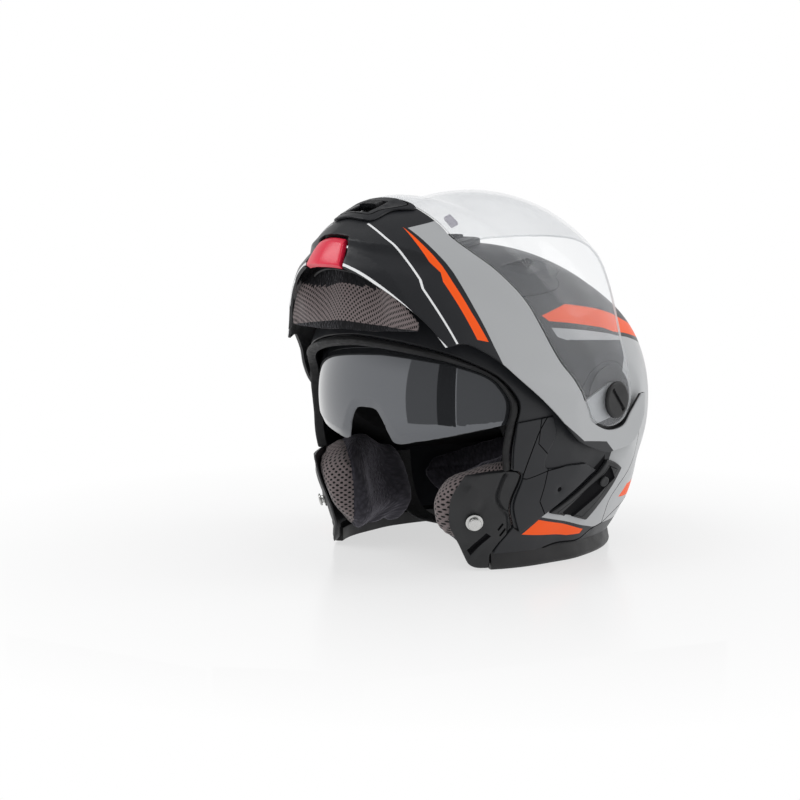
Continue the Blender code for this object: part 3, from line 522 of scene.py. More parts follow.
class Look:
    """A procedural material, built node by node round one Principled shader."""

    def __init__(self, name, colour, roughness, **sockets):
        self.material = bpy.data.materials.new(name)
        self.material.use_nodes = True
        self.nodes, self.links = self.material.node_tree.nodes, self.material.node_tree.links
        self.shader = self.nodes["Principled BSDF"]
        self.out = self.nodes["Material Output"]
        self.colour = colour
        self.shader.inputs["Base Color"].default_value = (*colour, 1)
        self.shader.inputs["Roughness"].default_value = roughness
        for socket, value in sockets.items():
            self.shader.inputs[socket.replace("_", " ")].default_value = value
        self.normal = None

    def node(self, kind, **values):
        made = self.nodes.new(kind)
        for key, value in values.items():
            if key in made.bl_rna.properties:
                setattr(made, key, value)
            else:
                made.inputs[key.replace("_", " ")].default_value = value
        return made

    def link(self, source, target):
        self.links.new(source, target)

    def place(self, attribute=None):
        """Coordinates for a texture, in metres, or a stored pattern in millimetres."""
        if attribute:
            return self.node("ShaderNodeAttribute", attribute_name=attribute).outputs["Vector"]
        return self.node("ShaderNodeTexCoord").outputs["Object"]

    def noise(self, scale, detail=3.0, where=None):
        made = self.node("ShaderNodeTexNoise", Scale=scale, Detail=detail)
        self.link(where or self.place(), made.inputs["Vector"])
        return made.outputs["Fac"]

    def spread(self, value, low, high, start=0.35, end=0.65):
        """A 0 to 1 value mapped to a range."""
        made = self.node("ShaderNodeMapRange")
        for socket, number in (("From Min", start), ("From Max", end), ("To Min", low), ("To Max", high)):
            made.inputs[socket].default_value = number
        self.link(value, made.inputs["Value"])
        return made.outputs["Result"]

    def math(self, operation, first, second=None):
        made = self.node("ShaderNodeMath", operation=operation)
        for socket, value in zip(made.inputs, (first, second)):
            if value is None:
                continue
            if isinstance(value, (int, float)):
                socket.default_value = value
            else:
                self.link(value, socket)
        return made.outputs["Value"]

    def tint(self, factor, dark, light):
        """Base colour between two colours."""
        made = self.node("ShaderNodeMix", data_type="RGBA")
        self.link(factor, made.inputs["Factor"])
        for number, colour in zip(MIX_COLOURS, (dark, light)):
            made.inputs[number].default_value = (*colour, 1)
        self.link(made.outputs[MIX_RESULT], self.shader.inputs["Base Color"])
        return made.outputs[MIX_RESULT]

    def rough(self, factor, low, high):
        self.link(self.spread(factor, low, high), self.shader.inputs["Roughness"])

    def bump(self, height, distance, strength=1.0):
        """Adds a height map, distance metres deep."""
        made = self.node("ShaderNodeBump", Distance=distance, Strength=strength)
        self.link(height, made.inputs["Height"])
        if self.normal:
            self.link(self.normal, made.inputs["Normal"])
        self.normal = made.outputs["Normal"]
        self.link(self.normal, self.shader.inputs["Normal"])


def shade(colour, factor):
    return tuple(min(1.0, c * factor) for c in colour)


def paint(name, colour, roughness, spread=0.05, **sockets):
    """Sprayed paint: a faint orange peel, fine flakes of matting agent and slow colour drift."""
    look = Look(name, colour, roughness, **sockets)
    look.tint(look.noise(9.0, 2.0), shade(colour, 0.95), shade(colour, 1.05))
    look.rough(look.noise(60.0, 4.0), roughness - spread, roughness + spread)
    look.bump(look.noise(900.0, 2.0), 0.00004)
    look.bump(look.noise(2600.0, 1.0), 0.00002)
    return look.material


def plastic(name, colour, roughness, grain=1500.0, depth=0.00005, **sockets):
    """Moulded plastic with a spark-eroded grain, painted darker in its hollows as shade."""
    look = Look(name, colour, roughness, **sockets)
    pebble = look.noise(grain, 2.0)
    # painted shade: the grain's low spots get the darker colour and its high spots the lighter one
    look.tint(pebble, shade(colour, 0.85), shade(colour, 1.15))
    look.rough(look.noise(80.0, 4.0), roughness - 0.06, roughness + 0.06)
    look.bump(pebble, depth)
    return look.material


def rubber(name, colour):
    look = Look(name, colour, 0.62, Specular_IOR_Level=0.35)
    look.tint(look.noise(30.0, 4.0), shade(colour, 0.8), shade(colour, 1.25))
    look.rough(look.noise(250.0, 3.0), 0.52, 0.72)
    look.bump(look.noise(2200.0, 2.0), 0.00006)
    return look.material


def bead_foam(name, colour):
    """Expanded polystyrene: pressed beads a few millimetres across."""
    look = Look(name, colour, 0.9, Specular_IOR_Level=0.2)
    beads = look.node("ShaderNodeTexVoronoi", Scale=380.0, feature="DISTANCE_TO_EDGE")
    look.link(look.place(), beads.inputs["Vector"])
    # painted shade: the crevices between the beads are darkened
    look.tint(look.spread(beads.outputs["Distance"], 0, 1, 0, 0.12), shade(colour, 0.4), colour)
    look.bump(look.spread(beads.outputs["Distance"], 0, 1, 0, 0.15), 0.0003)
    return look.material


def metal(name, colour, roughness):
    look = Look(name, colour, roughness, Metallic=1.0)
    look.tint(look.noise(120.0, 4.0), shade(colour, 0.85), shade(colour, 1.1))
    look.rough(look.noise(700.0, 5.0), roughness - 0.07, roughness + 0.1)
    look.bump(look.noise(1800.0, 3.0), 0.00002)
    return look.material


HOLE_PITCH = 2.75                # millimetres between the holes of the spacer mesh, along its diagonals


def spacer_mesh(name, yarn, hole):
    """Knitted spacer mesh: round holes on a diamond grid, yarn round each. The pattern comes from the
    piece's own weave attribute, in millimetres."""
    look = Look(name, yarn, 0.85, Specular_IOR_Level=0.25, Sheen_Weight=0.25, Sheen_Roughness=0.4)
    turned = look.node("ShaderNodeMapping", vector_type="POINT")
    turned.inputs["Rotation"].default_value[2] = math.radians(45)
    turned.inputs["Scale"].default_value = (1 / HOLE_PITCH, 1 / HOLE_PITCH, 0)
    look.link(look.place("weave"), turned.inputs["Vector"])
    wobble = look.node("ShaderNodeTexNoise", Scale=0.35, Detail=1.0)
    look.link(look.place("weave"), wobble.inputs["Vector"])
    shifted = look.node("ShaderNodeVectorMath", operation="MULTIPLY_ADD")
    look.link(wobble.outputs["Color"], shifted.inputs[0])
    shifted.inputs[1].default_value = (0.16, 0.16, 0)
    look.link(turned.outputs["Vector"], shifted.inputs[2])
    cell = look.node("ShaderNodeVectorMath", operation="FRACTION")
    look.link(shifted.outputs["Vector"], cell.inputs[0])
    centred = look.node("ShaderNodeVectorMath", operation="SUBTRACT")
    look.link(cell.outputs["Vector"], centred.inputs[0])
    centred.inputs[1].default_value = (0.5, 0.5, 0)
    reach = look.node("ShaderNodeVectorMath", operation="LENGTH")
    look.link(centred.outputs["Vector"], reach.inputs[0])
    solid = look.spread(reach.outputs["Value"], 0, 1, 0.25, 0.33)
    thread = look.node("ShaderNodeTexNoise", Scale=3.2, Detail=3.0)
    look.link(look.place("weave"), thread.inputs["Vector"])
    # partly the yarn's own tone, partly painted light and shade: the same noise that raises the threads makes
    # them lighter
    yarn_tone_and_shade = look.spread(thread.outputs["Fac"], 0.55, 1.15)
    # painted shade: the holes get the near-black hole colour for the shade inside them
    look.tint(look.math("MULTIPLY", solid, yarn_tone_and_shade), hole, yarn)
    look.bump(solid, 0.0007)
    look.bump(thread.outputs["Fac"], 0.0003, 0.7)
    return look.material


def velour(name, colour, tint):
    """Brushed knit with a pebbled face, painted darker between the pebbles as shade, and a soft sheen."""
    look = Look(name, colour, 0.95, Specular_IOR_Level=0.2, Sheen_Weight=0.35, Sheen_Roughness=0.35)
    look.shader.inputs["Sheen Tint"].default_value = (*tint, 1)
    pebbles = look.node("ShaderNodeTexVoronoi", Scale=0.5, feature="SMOOTH_F1", Smoothness=0.4)
    stretched = look.node("ShaderNodeMapping", vector_type="POINT")
    stretched.inputs["Scale"].default_value = (1.0, 0.6, 1.0)
    look.link(look.place("weave"), stretched.inputs["Vector"])
    look.link(stretched.outputs["Vector"], pebbles.inputs["Vector"])
    height = look.spread(pebbles.outputs["Distance"], 1, 0, 0.1, 0.75)
    # painted shade and light: the hollows between the pebbles darker, the pebble tops lighter
    look.tint(height, shade(colour, 0.65), shade(colour, 1.15))
    look.bump(height, 0.0005)
    look.bump(look.noise(3000.0, 2.0), 0.00012)
    return look.material


def webbing(name, colour):
    """Seat-belt weave: ribs along the strap from its weave attribute, crossed by fine threads, the raised
    weave painted lighter and its hollows darker as light and shade.
    """
    look = Look(name, colour, 0.8, Specular_IOR_Level=0.3, Sheen_Weight=0.2)
    where = look.place("weave")
    ribs = look.node("ShaderNodeTexWave", wave_type="BANDS", bands_direction="DIAGONAL", Scale=0.55,
                     Distortion=0.6, Detail=1.0)
    look.link(where, ribs.inputs["Vector"])
    threads = look.node("ShaderNodeTexWave", wave_type="BANDS", bands_direction="Y", Scale=0.9)
    look.link(where, threads.inputs["Vector"])
    height = look.math("MULTIPLY", ribs.outputs["Fac"], threads.outputs["Fac"])
    # painted light and shade: the raised ribs lighter, the hollows between them darker
    look.tint(height, shade(colour, 0.5), shade(colour, 1.8))
    look.bump(height, 0.0003)
    return look.material


CLEAR_RIM = 0.35                 # how much of a film a glancing view sees, at least


def see_through(name, film, body, roughness, tint=None, **sockets):
    """A clear moulding: body is how much of it is seen as a film, over what shows through it."""
    look = Look(name, film, roughness, Specular_IOR_Level=0.7, **sockets)
    look.tint(look.noise(14.0, 2.0), shade(film, 0.96), film)
    look.bump(look.noise(25.0, 1.0), 0.00005)
    clear = look.node("ShaderNodeBsdfTransparent")
    clear.inputs["Color"].default_value = (*(tint or (0.97, 0.98, 0.99)), 1)
    edge = look.node("ShaderNodeLayerWeight", Blend=0.5)
    glancing = look.math("POWER", edge.outputs["Facing"], 3.0)
    share = look.spread(glancing, body, max(body, CLEAR_RIM), 0.02, 1.0)
    mixed = look.node("ShaderNodeMixShader")
    look.link(share, mixed.inputs["Fac"])
    look.link(clear.outputs["BSDF"], mixed.inputs[1])
    look.link(look.shader.outputs["BSDF"], mixed.inputs[2])
    look.link(mixed.outputs["Shader"], look.out.inputs["Surface"])
    return look.material


BLACK = paint("matte_anthracite", (0.015, 0.016, 0.019), 0.40, Specular_IOR_Level=0.38)
GREY = paint("satin_grey", (0.400, 0.410, 0.420), 0.38, Coat_Weight=0.25, Coat_Roughness=0.3)
ORANGE = paint("fluorescent_orange", (0.980, 0.100, 0.004), 0.45, Specular_IOR_Level=0.3)
WHITE = paint("white_line", (0.820, 0.830, 0.840), 0.42)
# painted shade: grooves, gaps between parts and the floors and walls of slots and vents get this near-black
# paint for the shade in them
GAP_SHADE = paint("painted_gap_shade", (0.006, 0.006, 0.007), 0.8, Specular_IOR_Level=0.1)
COVER = plastic("moulded_black", (0.012, 0.0125, 0.014), 0.44, Specular_IOR_Level=0.45)
TRIM = plastic("fine_grained_black", (0.009, 0.009, 0.010), 0.48, grain=2200.0, Specular_IOR_Level=0.4)
RUBBER = rubber("rubber_seal", (0.010, 0.010, 0.011))
EPS = bead_foam("bead_foam_black", (0.012, 0.012, 0.013))
FOAM = bead_foam("moulded_foam", (0.016, 0.016, 0.018))
STEEL = metal("turned_steel", (0.620, 0.620, 0.610), 0.26)
RED = plastic("red_button", (0.720, 0.014, 0.050), 0.34, grain=1200.0, depth=0.00002, Coat_Weight=0.3,
              Coat_Roughness=0.2)
MESH = spacer_mesh("spacer_mesh", (0.210, 0.172, 0.172), (0.002, 0.002, 0.002))
VELOUR = velour("pebbled_velour", (0.042, 0.040, 0.050), (0.75, 0.72, 0.82))
KNIT = velour("dark_lining_knit", (0.012, 0.012, 0.014), (0.6, 0.6, 0.65))
WEBBING = webbing("strap_webbing", (0.014, 0.014, 0.016))
# partly real gloss, partly painted reflection: the clear visor's pale film stands in for the white room
# mirrored in it, and shows more at glancing views
CLEAR = see_through("clear_polycarbonate", (0.860, 0.880, 0.920), 0.075, 0.03, tint=(0.985, 0.988, 0.99))
# painted highlight: the visor's cut edges get a near-white, mostly solid film for the bright line that light
# makes along them
EDGE_HIGHLIGHT = see_through("polycarbonate_edge_highlight", (0.930, 0.940, 0.950), 0.8, 0.15)
CLEAR_TINT = see_through("tinted_visor_rim", (0.300, 0.270, 0.330), 0.45, 0.05)
SMOKE = see_through("smoked_mirror", (0.120, 0.127, 0.140), 0.90, 0.035, tint=(0.20, 0.21, 0.23),
                    Metallic=0.85, Coat_Weight=1.0, Coat_Roughness=0.02)


# ---------------------------------------------------------------- outlines shared with the CAD

BROW = [(MID, 19, 1), (70, 18), (58, 16.5), (47, 13), (41, 7), (38.5, 0), (40, -10), (42.5, -20)]
JAW_SEAM = [(44.6, -28.6, 1), (42.4, -33.8), (49.0, -42.3), (51.8, -50.6, 1)]
JAW_BACK = -52.3                 # alpha where the seam leaves the shell's lower edge
JAW_FOOT = [(66.4, -42.0), (66.0, -47.5), (64.8, -51.0), (61.8, -54.3, 1)]     # down to the floor
RIM_START = -52.7                # alpha of the rubber rim's ends
GAP_DEG = 0.3
REAR_RHOS = (69.0, 76.0, 83.0)


def rear_alpha(body, rho, height):
    """The alpha behind the pivot (below 0) where the body reaches a height at this rho."""
    low, high = -160.0, -95.0
    for _ in range(40):
        turn = (low + high) / 2
        low, high = (turn, high) if body.points(rho, turn)[2] > height else (low, turn)
    return (low + high) / 2


def lower_edge(body, height, first, last=None, step=9.0):
    """Outline points along a level lower edge from alpha first back to alpha last, or to the mid-plane."""
    stop = rear_alpha(body, REAR_RHOS[0], height) + 4 if last is None else last
    count = max(1, round(abs(stop - first) / step))
    turns = [first + (stop - first) * k / count for k in range(count + 1)]
    points = [(body.rho_at_height(turn, height), turn) for turn in turns]
    if last is None:
        points += [(rho, rear_alpha(body, rho, height)) for rho in REAR_RHOS]
    return points


def shell_outline():
    edge = lower_edge(SHELL, SHELL_EDGE, JAW_BACK, step=4.0)
    edge[0] = (*edge[0], 1)
    return BROW + JAW_SEAM + edge + [(MID, rear_alpha(SHELL, MID, SHELL_EDGE), 1), (MID, -180),
                                     (MID, -270), (MID, -300)]


def jaw_outline():
    seam = [(p[0] + 1.6 * GAP_DEG, p[1] + GAP_DEG, *p[2:]) for p in reversed(JAW_SEAM[1:])]
    return ([(57.5, -24, 1), (62.2, -29), (64.4, -33), (66.2, -38)] + JAW_FOOT
            + [(60.3, JAW_BACK + GAP_DEG, 1)] + seam + [(45.4, -28.9, 1), (52.0, -25.6)])


def gasket_outline():
    outer = [(p[0], p[1]) for p in BROW] + [(44.0, -28.0)]
    edge = [(MID, 18.5, 1)] + [(rho + 0.8 * shift, turn - 0.6) for (rho, turn), shift
                               in zip(outer[1:], (0, 0.3, 0.7, 1, 1, 1, 1, 1))]
    edge[-1] = (*edge[-1], 1)
    back = [(rho + 2.8 * shift, turn - 2.6 * (1 - shift)) for (rho, turn), shift
            in zip(outer[1:], (0, 0.2, 0.6, 1, 1, 1, 1, 1))]
    back = back[::-1]
    back[0] = (*back[0], 1)
    return edge + back + [(MID, 16.3, 1)]


TOP_HOLE = [(MID, 63, 1), (86.5, 63, 1), (86.5, 67, 1), (MID, 67, 1)]
TOP_VENT = [(MID, 57, 1), (84, 57.5), (79, 61), (78, 67), (80, 75), (84, 79), (MID, 80, 1)]
TOP_SLOT = [(MID, 67.5, 1), (85.2, 67.5, 1), (85.2, 74.5, 1), (MID, 74.5, 1)]
REAR_HOLE = [(MID, 168, 1), (85.5, 168, 1), (85.5, 172, 1), (MID, 172, 1)]
REAR_VENT = [(MID, 160, 1), (82, 160.5), (73, 163), (71, 168), (76, 173), (84, 176), (MID, 177, 1)]
SIDE_PANEL = [(39.6, -8, 1), (42.0, -20), (44.0, -29.0, 1), (41.8, -33.9), (48.2, -42.8), (51.4, -53.6, 1),
              (42.6, -57.2), (38.2, -59.6), (24.0, -76, 1), (23.5, -62, 1), (27.0, -50), (34.4, -38.1),
              (31.8, -30.3), (27.0, -22), (27.0, -8, 1)]
HOUSING = [(42.0, -58.4, 1), (30.2, -70.6), (20.4, -87.6, 1), (21.4, -98.0), (24.2, -106.8, 1),
           (32.6, -92.4), (40.0, -83.5, 1)]
SLOT_LOW, SLOT_HIGH = (38.2, -70.5), (26.0, -89.4)
KNOB_START = 4.0                 # millimetres from the slot's upper end to the knob's middle


def slot_outline(half, past=0.0):
    low, high = on_disc(*SLOT_LOW), on_disc(*SLOT_HIGH)
    along = (high - low) / np.linalg.norm(high - low)
    across = np.array([-along[1], along[0]]) * half
    low, high = low - along * (half + past), high + along * (half + past)
    spots = np.array([low - across, high - across, high + across, low + across])
    return cornered(list(zip(*from_disc(spots))))


# ---------------------------------------------------------------- the shell and what it carries

SHELL_ORANGE = cornered([(39.6, 49.8), (37.0, 69.3), (33.2, 96.7), (34.9, 117.2), (38.0, 132.0),
                         (47.0, 147.0), (60.0, 158.0), (56.0, 160.0), (43.0, 152.0), (34.0, 141.0),
                         (28.5, 127.0), (24.8, 109.5), (25.1, 93.3), (36.7, 50.0)])
SHELL_GREY = [(34.9, 47.5, 1), (23.1, 98.5, 1), (23.6, 112.0, 1), (27.2, 129.0, 1), (32.8, 143.5, 1),
              (42.0, 155.0, 1), (54.0, 163.0, 1), (64.0, 168.0, 1), (62.0, 180.0, 1), (58.0, 195.0, 1),
              (56.0, 212.0, 1), (54.5, 228.0, 1), (51.0, 242.0, 1), (45.5, 256.0, 1), (44.0, 266.6, 1),
              (42.4, 287.7, 1), (45.1, 304.4, 1), (42.2, 302.3, 1), (41.0, 290.0, 1), (30.0, 272.0, 1),
              (22.0, 268.0, 1), (12.5, 245.0, 1), (9.0, 200.0, 1), (9.0, 160.0, 1), (12.6, 130.0, 1),
              (18.2, 122.0, 1),
              (23.0, 119.2, 1), (28.1, 48.5, 1), (31.5, 45.2, 1)]
SHELL_LOW_ORANGE = cornered([(45.6, -57.3), (44.0, -86.9), (45.4, -85.9), (46.3, -77.9), (51.5, -55.7)])
SHELL_BACK_ORANGE = cornered([(38.0, -112.0), (36.5, -121.0), (41.5, -131.0), (50.0, -139.0), (47.0, -128.0)])
# painted shade: the strip of shell between the side panel and the slider housing is painted near-black for
# the shade in the gap
SHADED_GAP_STRIP = cornered([(52.0, -50.0), (51.6, -53.4), (42.8, -57.0), (38.0, -59.4), (24.0, -75.6),
                     (19.0, -88.0), (21.0, -88.0), (30.4, -70.4), (42.4, -58.0), (42.8, -56.4),
                     (51.0, -52.6)])
LOWER_LINE = [(61.0, -53.4), (49.3, -72.6), (47.0, -87.0), (44.6, -94.5), (44.3, -101.5, 1), (43.6, -112.0),
              (46.0, -124.0), (52.0, -136.0), (60.0, -146.0), (70.0, -153.5), (80.0, -158.0), (MID, -160.5)]
REAR_LINE = [(24.0, -152.0), (27.6, -139.4), (30.1, -122.7), (32.5, -108.4), (36.2, -101.0), (43.8, -100.8)]
CROWN_LINE = [(MID, 92.0), (70.0, 93.5), (55.0, 92.5), (51.5, 88.8), (48.9, 82.6, 1), (45.9, 80.7, 1),
              (43.4, 74.2), (44.0, 64.0), (47.4, 53.4), (54.0, 44.0), (70.0, 38.0), (MID, 36.0)]
INTAKE = cornered([(60.5, 62.5), (59.8, 75.5), (56.2, 75.5), (54.6, 69.0)])
INTAKE_FIN = [(62.0, 60.5, 1), (61.4, 77.5, 1), (57.0, 86.0), (53.6, 88.0, 1), (53.4, 78.0), (53.2, 67.0, 1)]
MECH_AREA = [(27.6, 50.0), (22.8, 60.0), (20.5, 80.0), (19.4, 95.0), (16.2, 96.0, 1), (15.0, 84.0),
             (15.6, 70.4), (18.4, 56.0), (22.0, 44.0, 1), (26.0, 40.0)]
MECH_ARC = [(14.6, 20.0), (13.6, 60.0), (13.4, 110.0), (13.8, 160.0), (14.4, 210.0), (15.0, 250.0)]


def shell_relief(spots):
    """The intakes beside the top vent, the band round the lower edge and the pods over the hinges."""
    rho, alpha = from_disc(spots)
    lower = outline(LOWER_LINE, 1.0, closed=False)
    far, way = beside(spots, lower)
    band = (alpha < -50) & (way * far > 0.35)
    fin = outline(INTAKE_FIN, 1.0)
    reach = np.where(inside(spots, fin), beside(spots, fin, True)[0], 0)
    pod = smooth(13.2, 14.4, rho) * (1 - smooth(16.0, 21.0, rho))
    return -0.9 * band + 4.6 * smooth(0, 2.6, reach) - 0.5 * pod * (alpha > -40)


def shell_parts():
    seat(patch("outer_shell_painted", SHELL, shell_outline(), 0, -SHELL_WALL,
               [BLACK, GREY, ORANGE, GAP_SHADE, COVER],
               zones=[(SHELL_GREY, 1), (SHELL_ORANGE, 2), (SHELL_LOW_ORANGE, 2), (SHELL_BACK_ORANGE, 2),
                      (SHADED_GAP_STRIP, 3), (MECH_AREA, 4)],
               grooves=[Groove(LOWER_LINE, 0.2, 1.2, 3), Groove(REAR_LINE, 0.16, 0.8, 3),
                        Groove(CROWN_LINE, 0.18, 0.9, 3), Groove(MECH_ARC, 0.14, 0.5)],
               pits=[Pit(INTAKE, 3.6, 0.3, 3, 3)],
               creases=[[(p[0], p[1]) for p in INTAKE_FIN] + [INTAKE_FIN[0][:2]]],
               relief=shell_relief, holes=[circle(2.0)], notches=[TOP_HOLE, REAR_HOLE]),
         "helmet_shell", "outer_shell")
    jaw_parts()
    side_panels()
    seat(patch("eye_port_seal", SHELL, gasket_outline(), lambda r, a: 0.8 + 0.6 * smooth(60, 80, r), -6.0,
               [RUBBER], relief=gasket_relief, step=0.9, rim=(0.6, 1.6)),
         "helmet_shell", "eye_port_gasket")
    slider_parts()
    top_vent()
    rear_vent()
    neck_rim()


def gasket_relief(spots):
    """A soft bead along the middle of the seal."""
    line = outline([(MID, 17.3), (70, 16.4), (58.2, 15.4), (47.9, 12.2), (42.2, 6.3), (40.5, -1.0),
                    (42.0, -10.6), (44.6, -20.6), (46.0, -28.0)], 1.0, closed=False)
    return 0.9 * np.exp(-(beside(spots, line)[0] / 0.55) ** 2)


JAW_EDGE = [(57.0, -24.4), (61.8, -29.0), (64.2, -33), (66.0, -40), (67.0, -47.4)]
JAW_S = [(46.6, -29.6), (48.6, -32.0), (51.4, -36.8), (51.8, -41.0), (51.2, -45.2), (53.4, -50.2)]
JAW_SLOT = cornered([(58.2, -45.4), (64.6, -46.9), (64.2, -48.4), (57.6, -47.4)])
JAW_SLITS = [cornered([(53.4, -46.0), (55.4, -46.8), (55.3, -47.6), (53.3, -46.9)]),
             cornered([(53.6, -48.2), (55.9, -49.0), (55.8, -49.8), (53.6, -49.1)])]
JAW_DIP = [(56.8, -27.4), (55.4, -31.0), (55.0, -35.5), (57.4, -37.6)]
PIN_SPOT = (59.6, -40.2)


def jaw_relief(spots):
    """A chamfer along the front edge, a long dip beside the pin and a boss round it."""
    edge = outline(JAW_EDGE, 1.0, closed=False)
    far = beside(spots, edge)[0]
    dip = beside(spots, outline(JAW_DIP, 1.0, closed=False))[0]
    pin = np.linalg.norm(spots - on_disc(*PIN_SPOT), axis=1)
    slot_lip = beside(spots, outline(JAW_SLOT, 0.8), True)[0]
    return (-2.2 * (1 - np.clip(far / 3.0, 0, 1)) - 1.5 * np.exp(-(dip / 1.0) ** 2)
            - 0.7 * (1 - smooth(2.3, 3.4, pin)) + 0.5 * np.exp(-((slot_lip - 0.5) / 0.45) ** 2))


def jaw_parts():
    crease = parallel(outline(JAW_EDGE, 1.0, closed=False), -3.0, False)
    inner = outline(jaw_outline(), 1.0)
    crease = crease[inside(crease, inner)]
    seat(patch("jaw_cover_moulded", SHELL, jaw_outline(), 0, -SHELL_WALL, [COVER, GAP_SHADE, BLACK],
               grooves=[Groove(JAW_S, 0.85, 2.0, bowl=True)],
               pits=[Pit(JAW_SLOT, 2.6, 0.3, 1, 1)] + [Pit(slit, 1.6, 0.2, 1, 1) for slit in JAW_SLITS],
               creases=[list(zip(*from_disc(crease)))], relief=jaw_relief, side="both", step=1.0,
               rim=(0.35, 0.9)),
         "helmet_shell", ("jaw_cover_left", "jaw_cover_right"))
    base, normal = SHELL.points(*PIN_SPOT), SHELL.normals(*PIN_SPOT)
    pin = [(0, GAP), (6.2, GAP), (6.5, 0.7), (6.5, 1.2), (6.2, 1.4), (3.4, 1.8), (3.2, 2.1), (3.2, 3.2),
           (3.4, 3.5), (4.7, 3.7), (5.0, 4.0), (5.0, 4.7), (4.7, 5.1), (4.2, 5.4), (0, 5.4)]
    seat(turned("latch_pin_turned", pin, base, normal, STEEL), "helmet_shell",
         ("latch_pin_left", "latch_pin_right"))


PANEL_SEAM = [(29.7, -8.4), (33.4, -17.0), (38.6, -28.0), (42.6, -34.8)]
PANEL_LINE = [(31.6, -9.0), (33.9, -22.1, 1), (31.8, -32.4, 1), (34.4, -39.8, 1), (41.6, -49.5, 1),
              (43.0, -56.4)]
PANEL_ARC = [(25.0, -14.0), (27.4, -22.5), (31.8, -32.4)]
PANEL_LEVEL = [(43.4, -33.4), (41.3, -36.2), (34.4, -39.8, 1), (29.0, -46.0)]
SCREW = (35.0, -54.3)


def side_panels():
    def relief(spots):
        """The facet ahead of the panel line lies lower, and the screw sits in a dish."""
        far, way = beside(spots, outline(PANEL_LEVEL, 1.0, closed=False))
        screw = np.linalg.norm(spots - on_disc(*SCREW), axis=1)
        return 0.7 * smooth(0, 6, far * way) - 0.9 * (1 - smooth(0.7, 1.3, screw))

    grooves = [Groove(PANEL_SEAM, 0.2, 1.0, 1), Groove(PANEL_LINE, 0.16, 0.9, 1),
               Groove(PANEL_ARC, 0.3, 0.8, bowl=True), Groove(PANEL_LEVEL, 0.16, 0.8, 1)]
    seat(patch("side_panel_moulded", SHELL, SIDE_PANEL, 1.8, 2 * GAP, [BLACK, GAP_SHADE], grooves=grooves,
               relief=relief, pits=[Pit(circle(0.75, *SCREW), 0.9, 0.25, 1, 1)], side="both", step=1.0,
               rim=(0.3, 0.7)),
         "helmet_shell", ("side_panel_left", "side_panel_right"))


SLIDER_FRAME = [(40.6, -61.8, 1), (30.9, -73.0), (22.0, -89.4, 1), (23.6, -99.6, 1), (31.4, -88.4),
                (39.0, -79.4, 1)]


def slider_parts():
    seat(patch("slider_housing_moulded", SHELL, HOUSING, 3.2, 3 * GAP, [COVER, GAP_SHADE],
               grooves=[Groove(SLIDER_FRAME, 0.14, 0.5, closed=True)],
               pits=[Pit(slot_outline(2.6, 0.4), 2.2, 0.3, 1, 1)], side="left", step=1.0,
               rim=(0.35, 0.9)),
         "helmet_shell", "sun_visor_slider_housing")
    spot, low = SHELL.points(*SLOT_HIGH), SHELL.points(*SLOT_LOW)
    middle = from_disc((on_disc(*SLOT_HIGH) + on_disc(*SLOT_LOW)) / 2)
    travel = (low - spot) / np.linalg.norm(low - spot)
    normal = SHELL.normals(*middle)
    knob = turned("slider_thumb_knob", [(0, 1.4), (2.4, 1.4), (2.4, 3.8), (3.6, 3.9), (4.0, 4.2), (4.1, 4.6),
                                        (4.0, 5.0), (3.6, 5.4), (3.0, 5.6), (1.4, 5.4), (0, 5.3)],
                  spot + travel * KNOB_START, normal, COVER, side="left")
    seat(knob, "sun_visor_slider", "sun_visor_slider")


def top_vent():
    def relief(spots):
        rho, alpha = from_disc(spots)
        return 0.8 * np.exp(-((alpha - 61.5) / 1.6) ** 2) - 0.9 * smooth(80.5, 79.0, rho)

    seat(patch("top_vent_cover_moulded", SHELL, TOP_VENT, 4.5, GAP, [BLACK, GAP_SHADE],
               grooves=[Groove([(MID, 77.4), (85.0, 76.8), (81.5, 73.6), (80.0, 67.0), (81.0, 62.6),
                                (85.0, 60.2), (MID, 59.6)], 0.16, 0.7, 1)],
               notches=[TOP_SLOT], relief=relief, step=0.9, rim=(0.4, 1.0)),
         "helmet_shell", "top_vent_cover")
    tab = [(MID, 71.8, 1), (86.6, 71.8, 1), (86.6, 74.0, 1), (MID, 74.0, 1)]
    seat(patch("top_vent_slider_ribbed", SHELL, tab, 6.6, GAP, [COVER], relief=tab_ribs(71.8, 74.0), step=0.4,
               rim=(0.25, 0.6)),
         "top_vent_slider", "top_vent_slider")


def tab_ribs(low, high):
    """Three grip ribs across a vent's slider."""
    def relief(spots):
        alpha = from_disc(spots)[1]
        return 0.35 * np.cos((alpha - low) / (high - low) * 6 * math.pi)
    return relief


def rear_vent():
    slots = [[(MID, turn, 1), (77.0, turn + 0.2, 1), (76.4, turn + 1.6, 1), (MID, turn + 1.6, 1)]
             for turn in (163.6, 167.4, 171.2)]
    seat(patch("rear_exhaust_moulded", SHELL, REAR_VENT, 4.0, GAP, [COVER, GAP_SHADE],
               pits=[Pit(slot, 1.8, 0.3, 1, 1) for slot in slots], step=0.9, rim=(0.5, 1.3)),
         "helmet_shell", "rear_exhaust_cover")


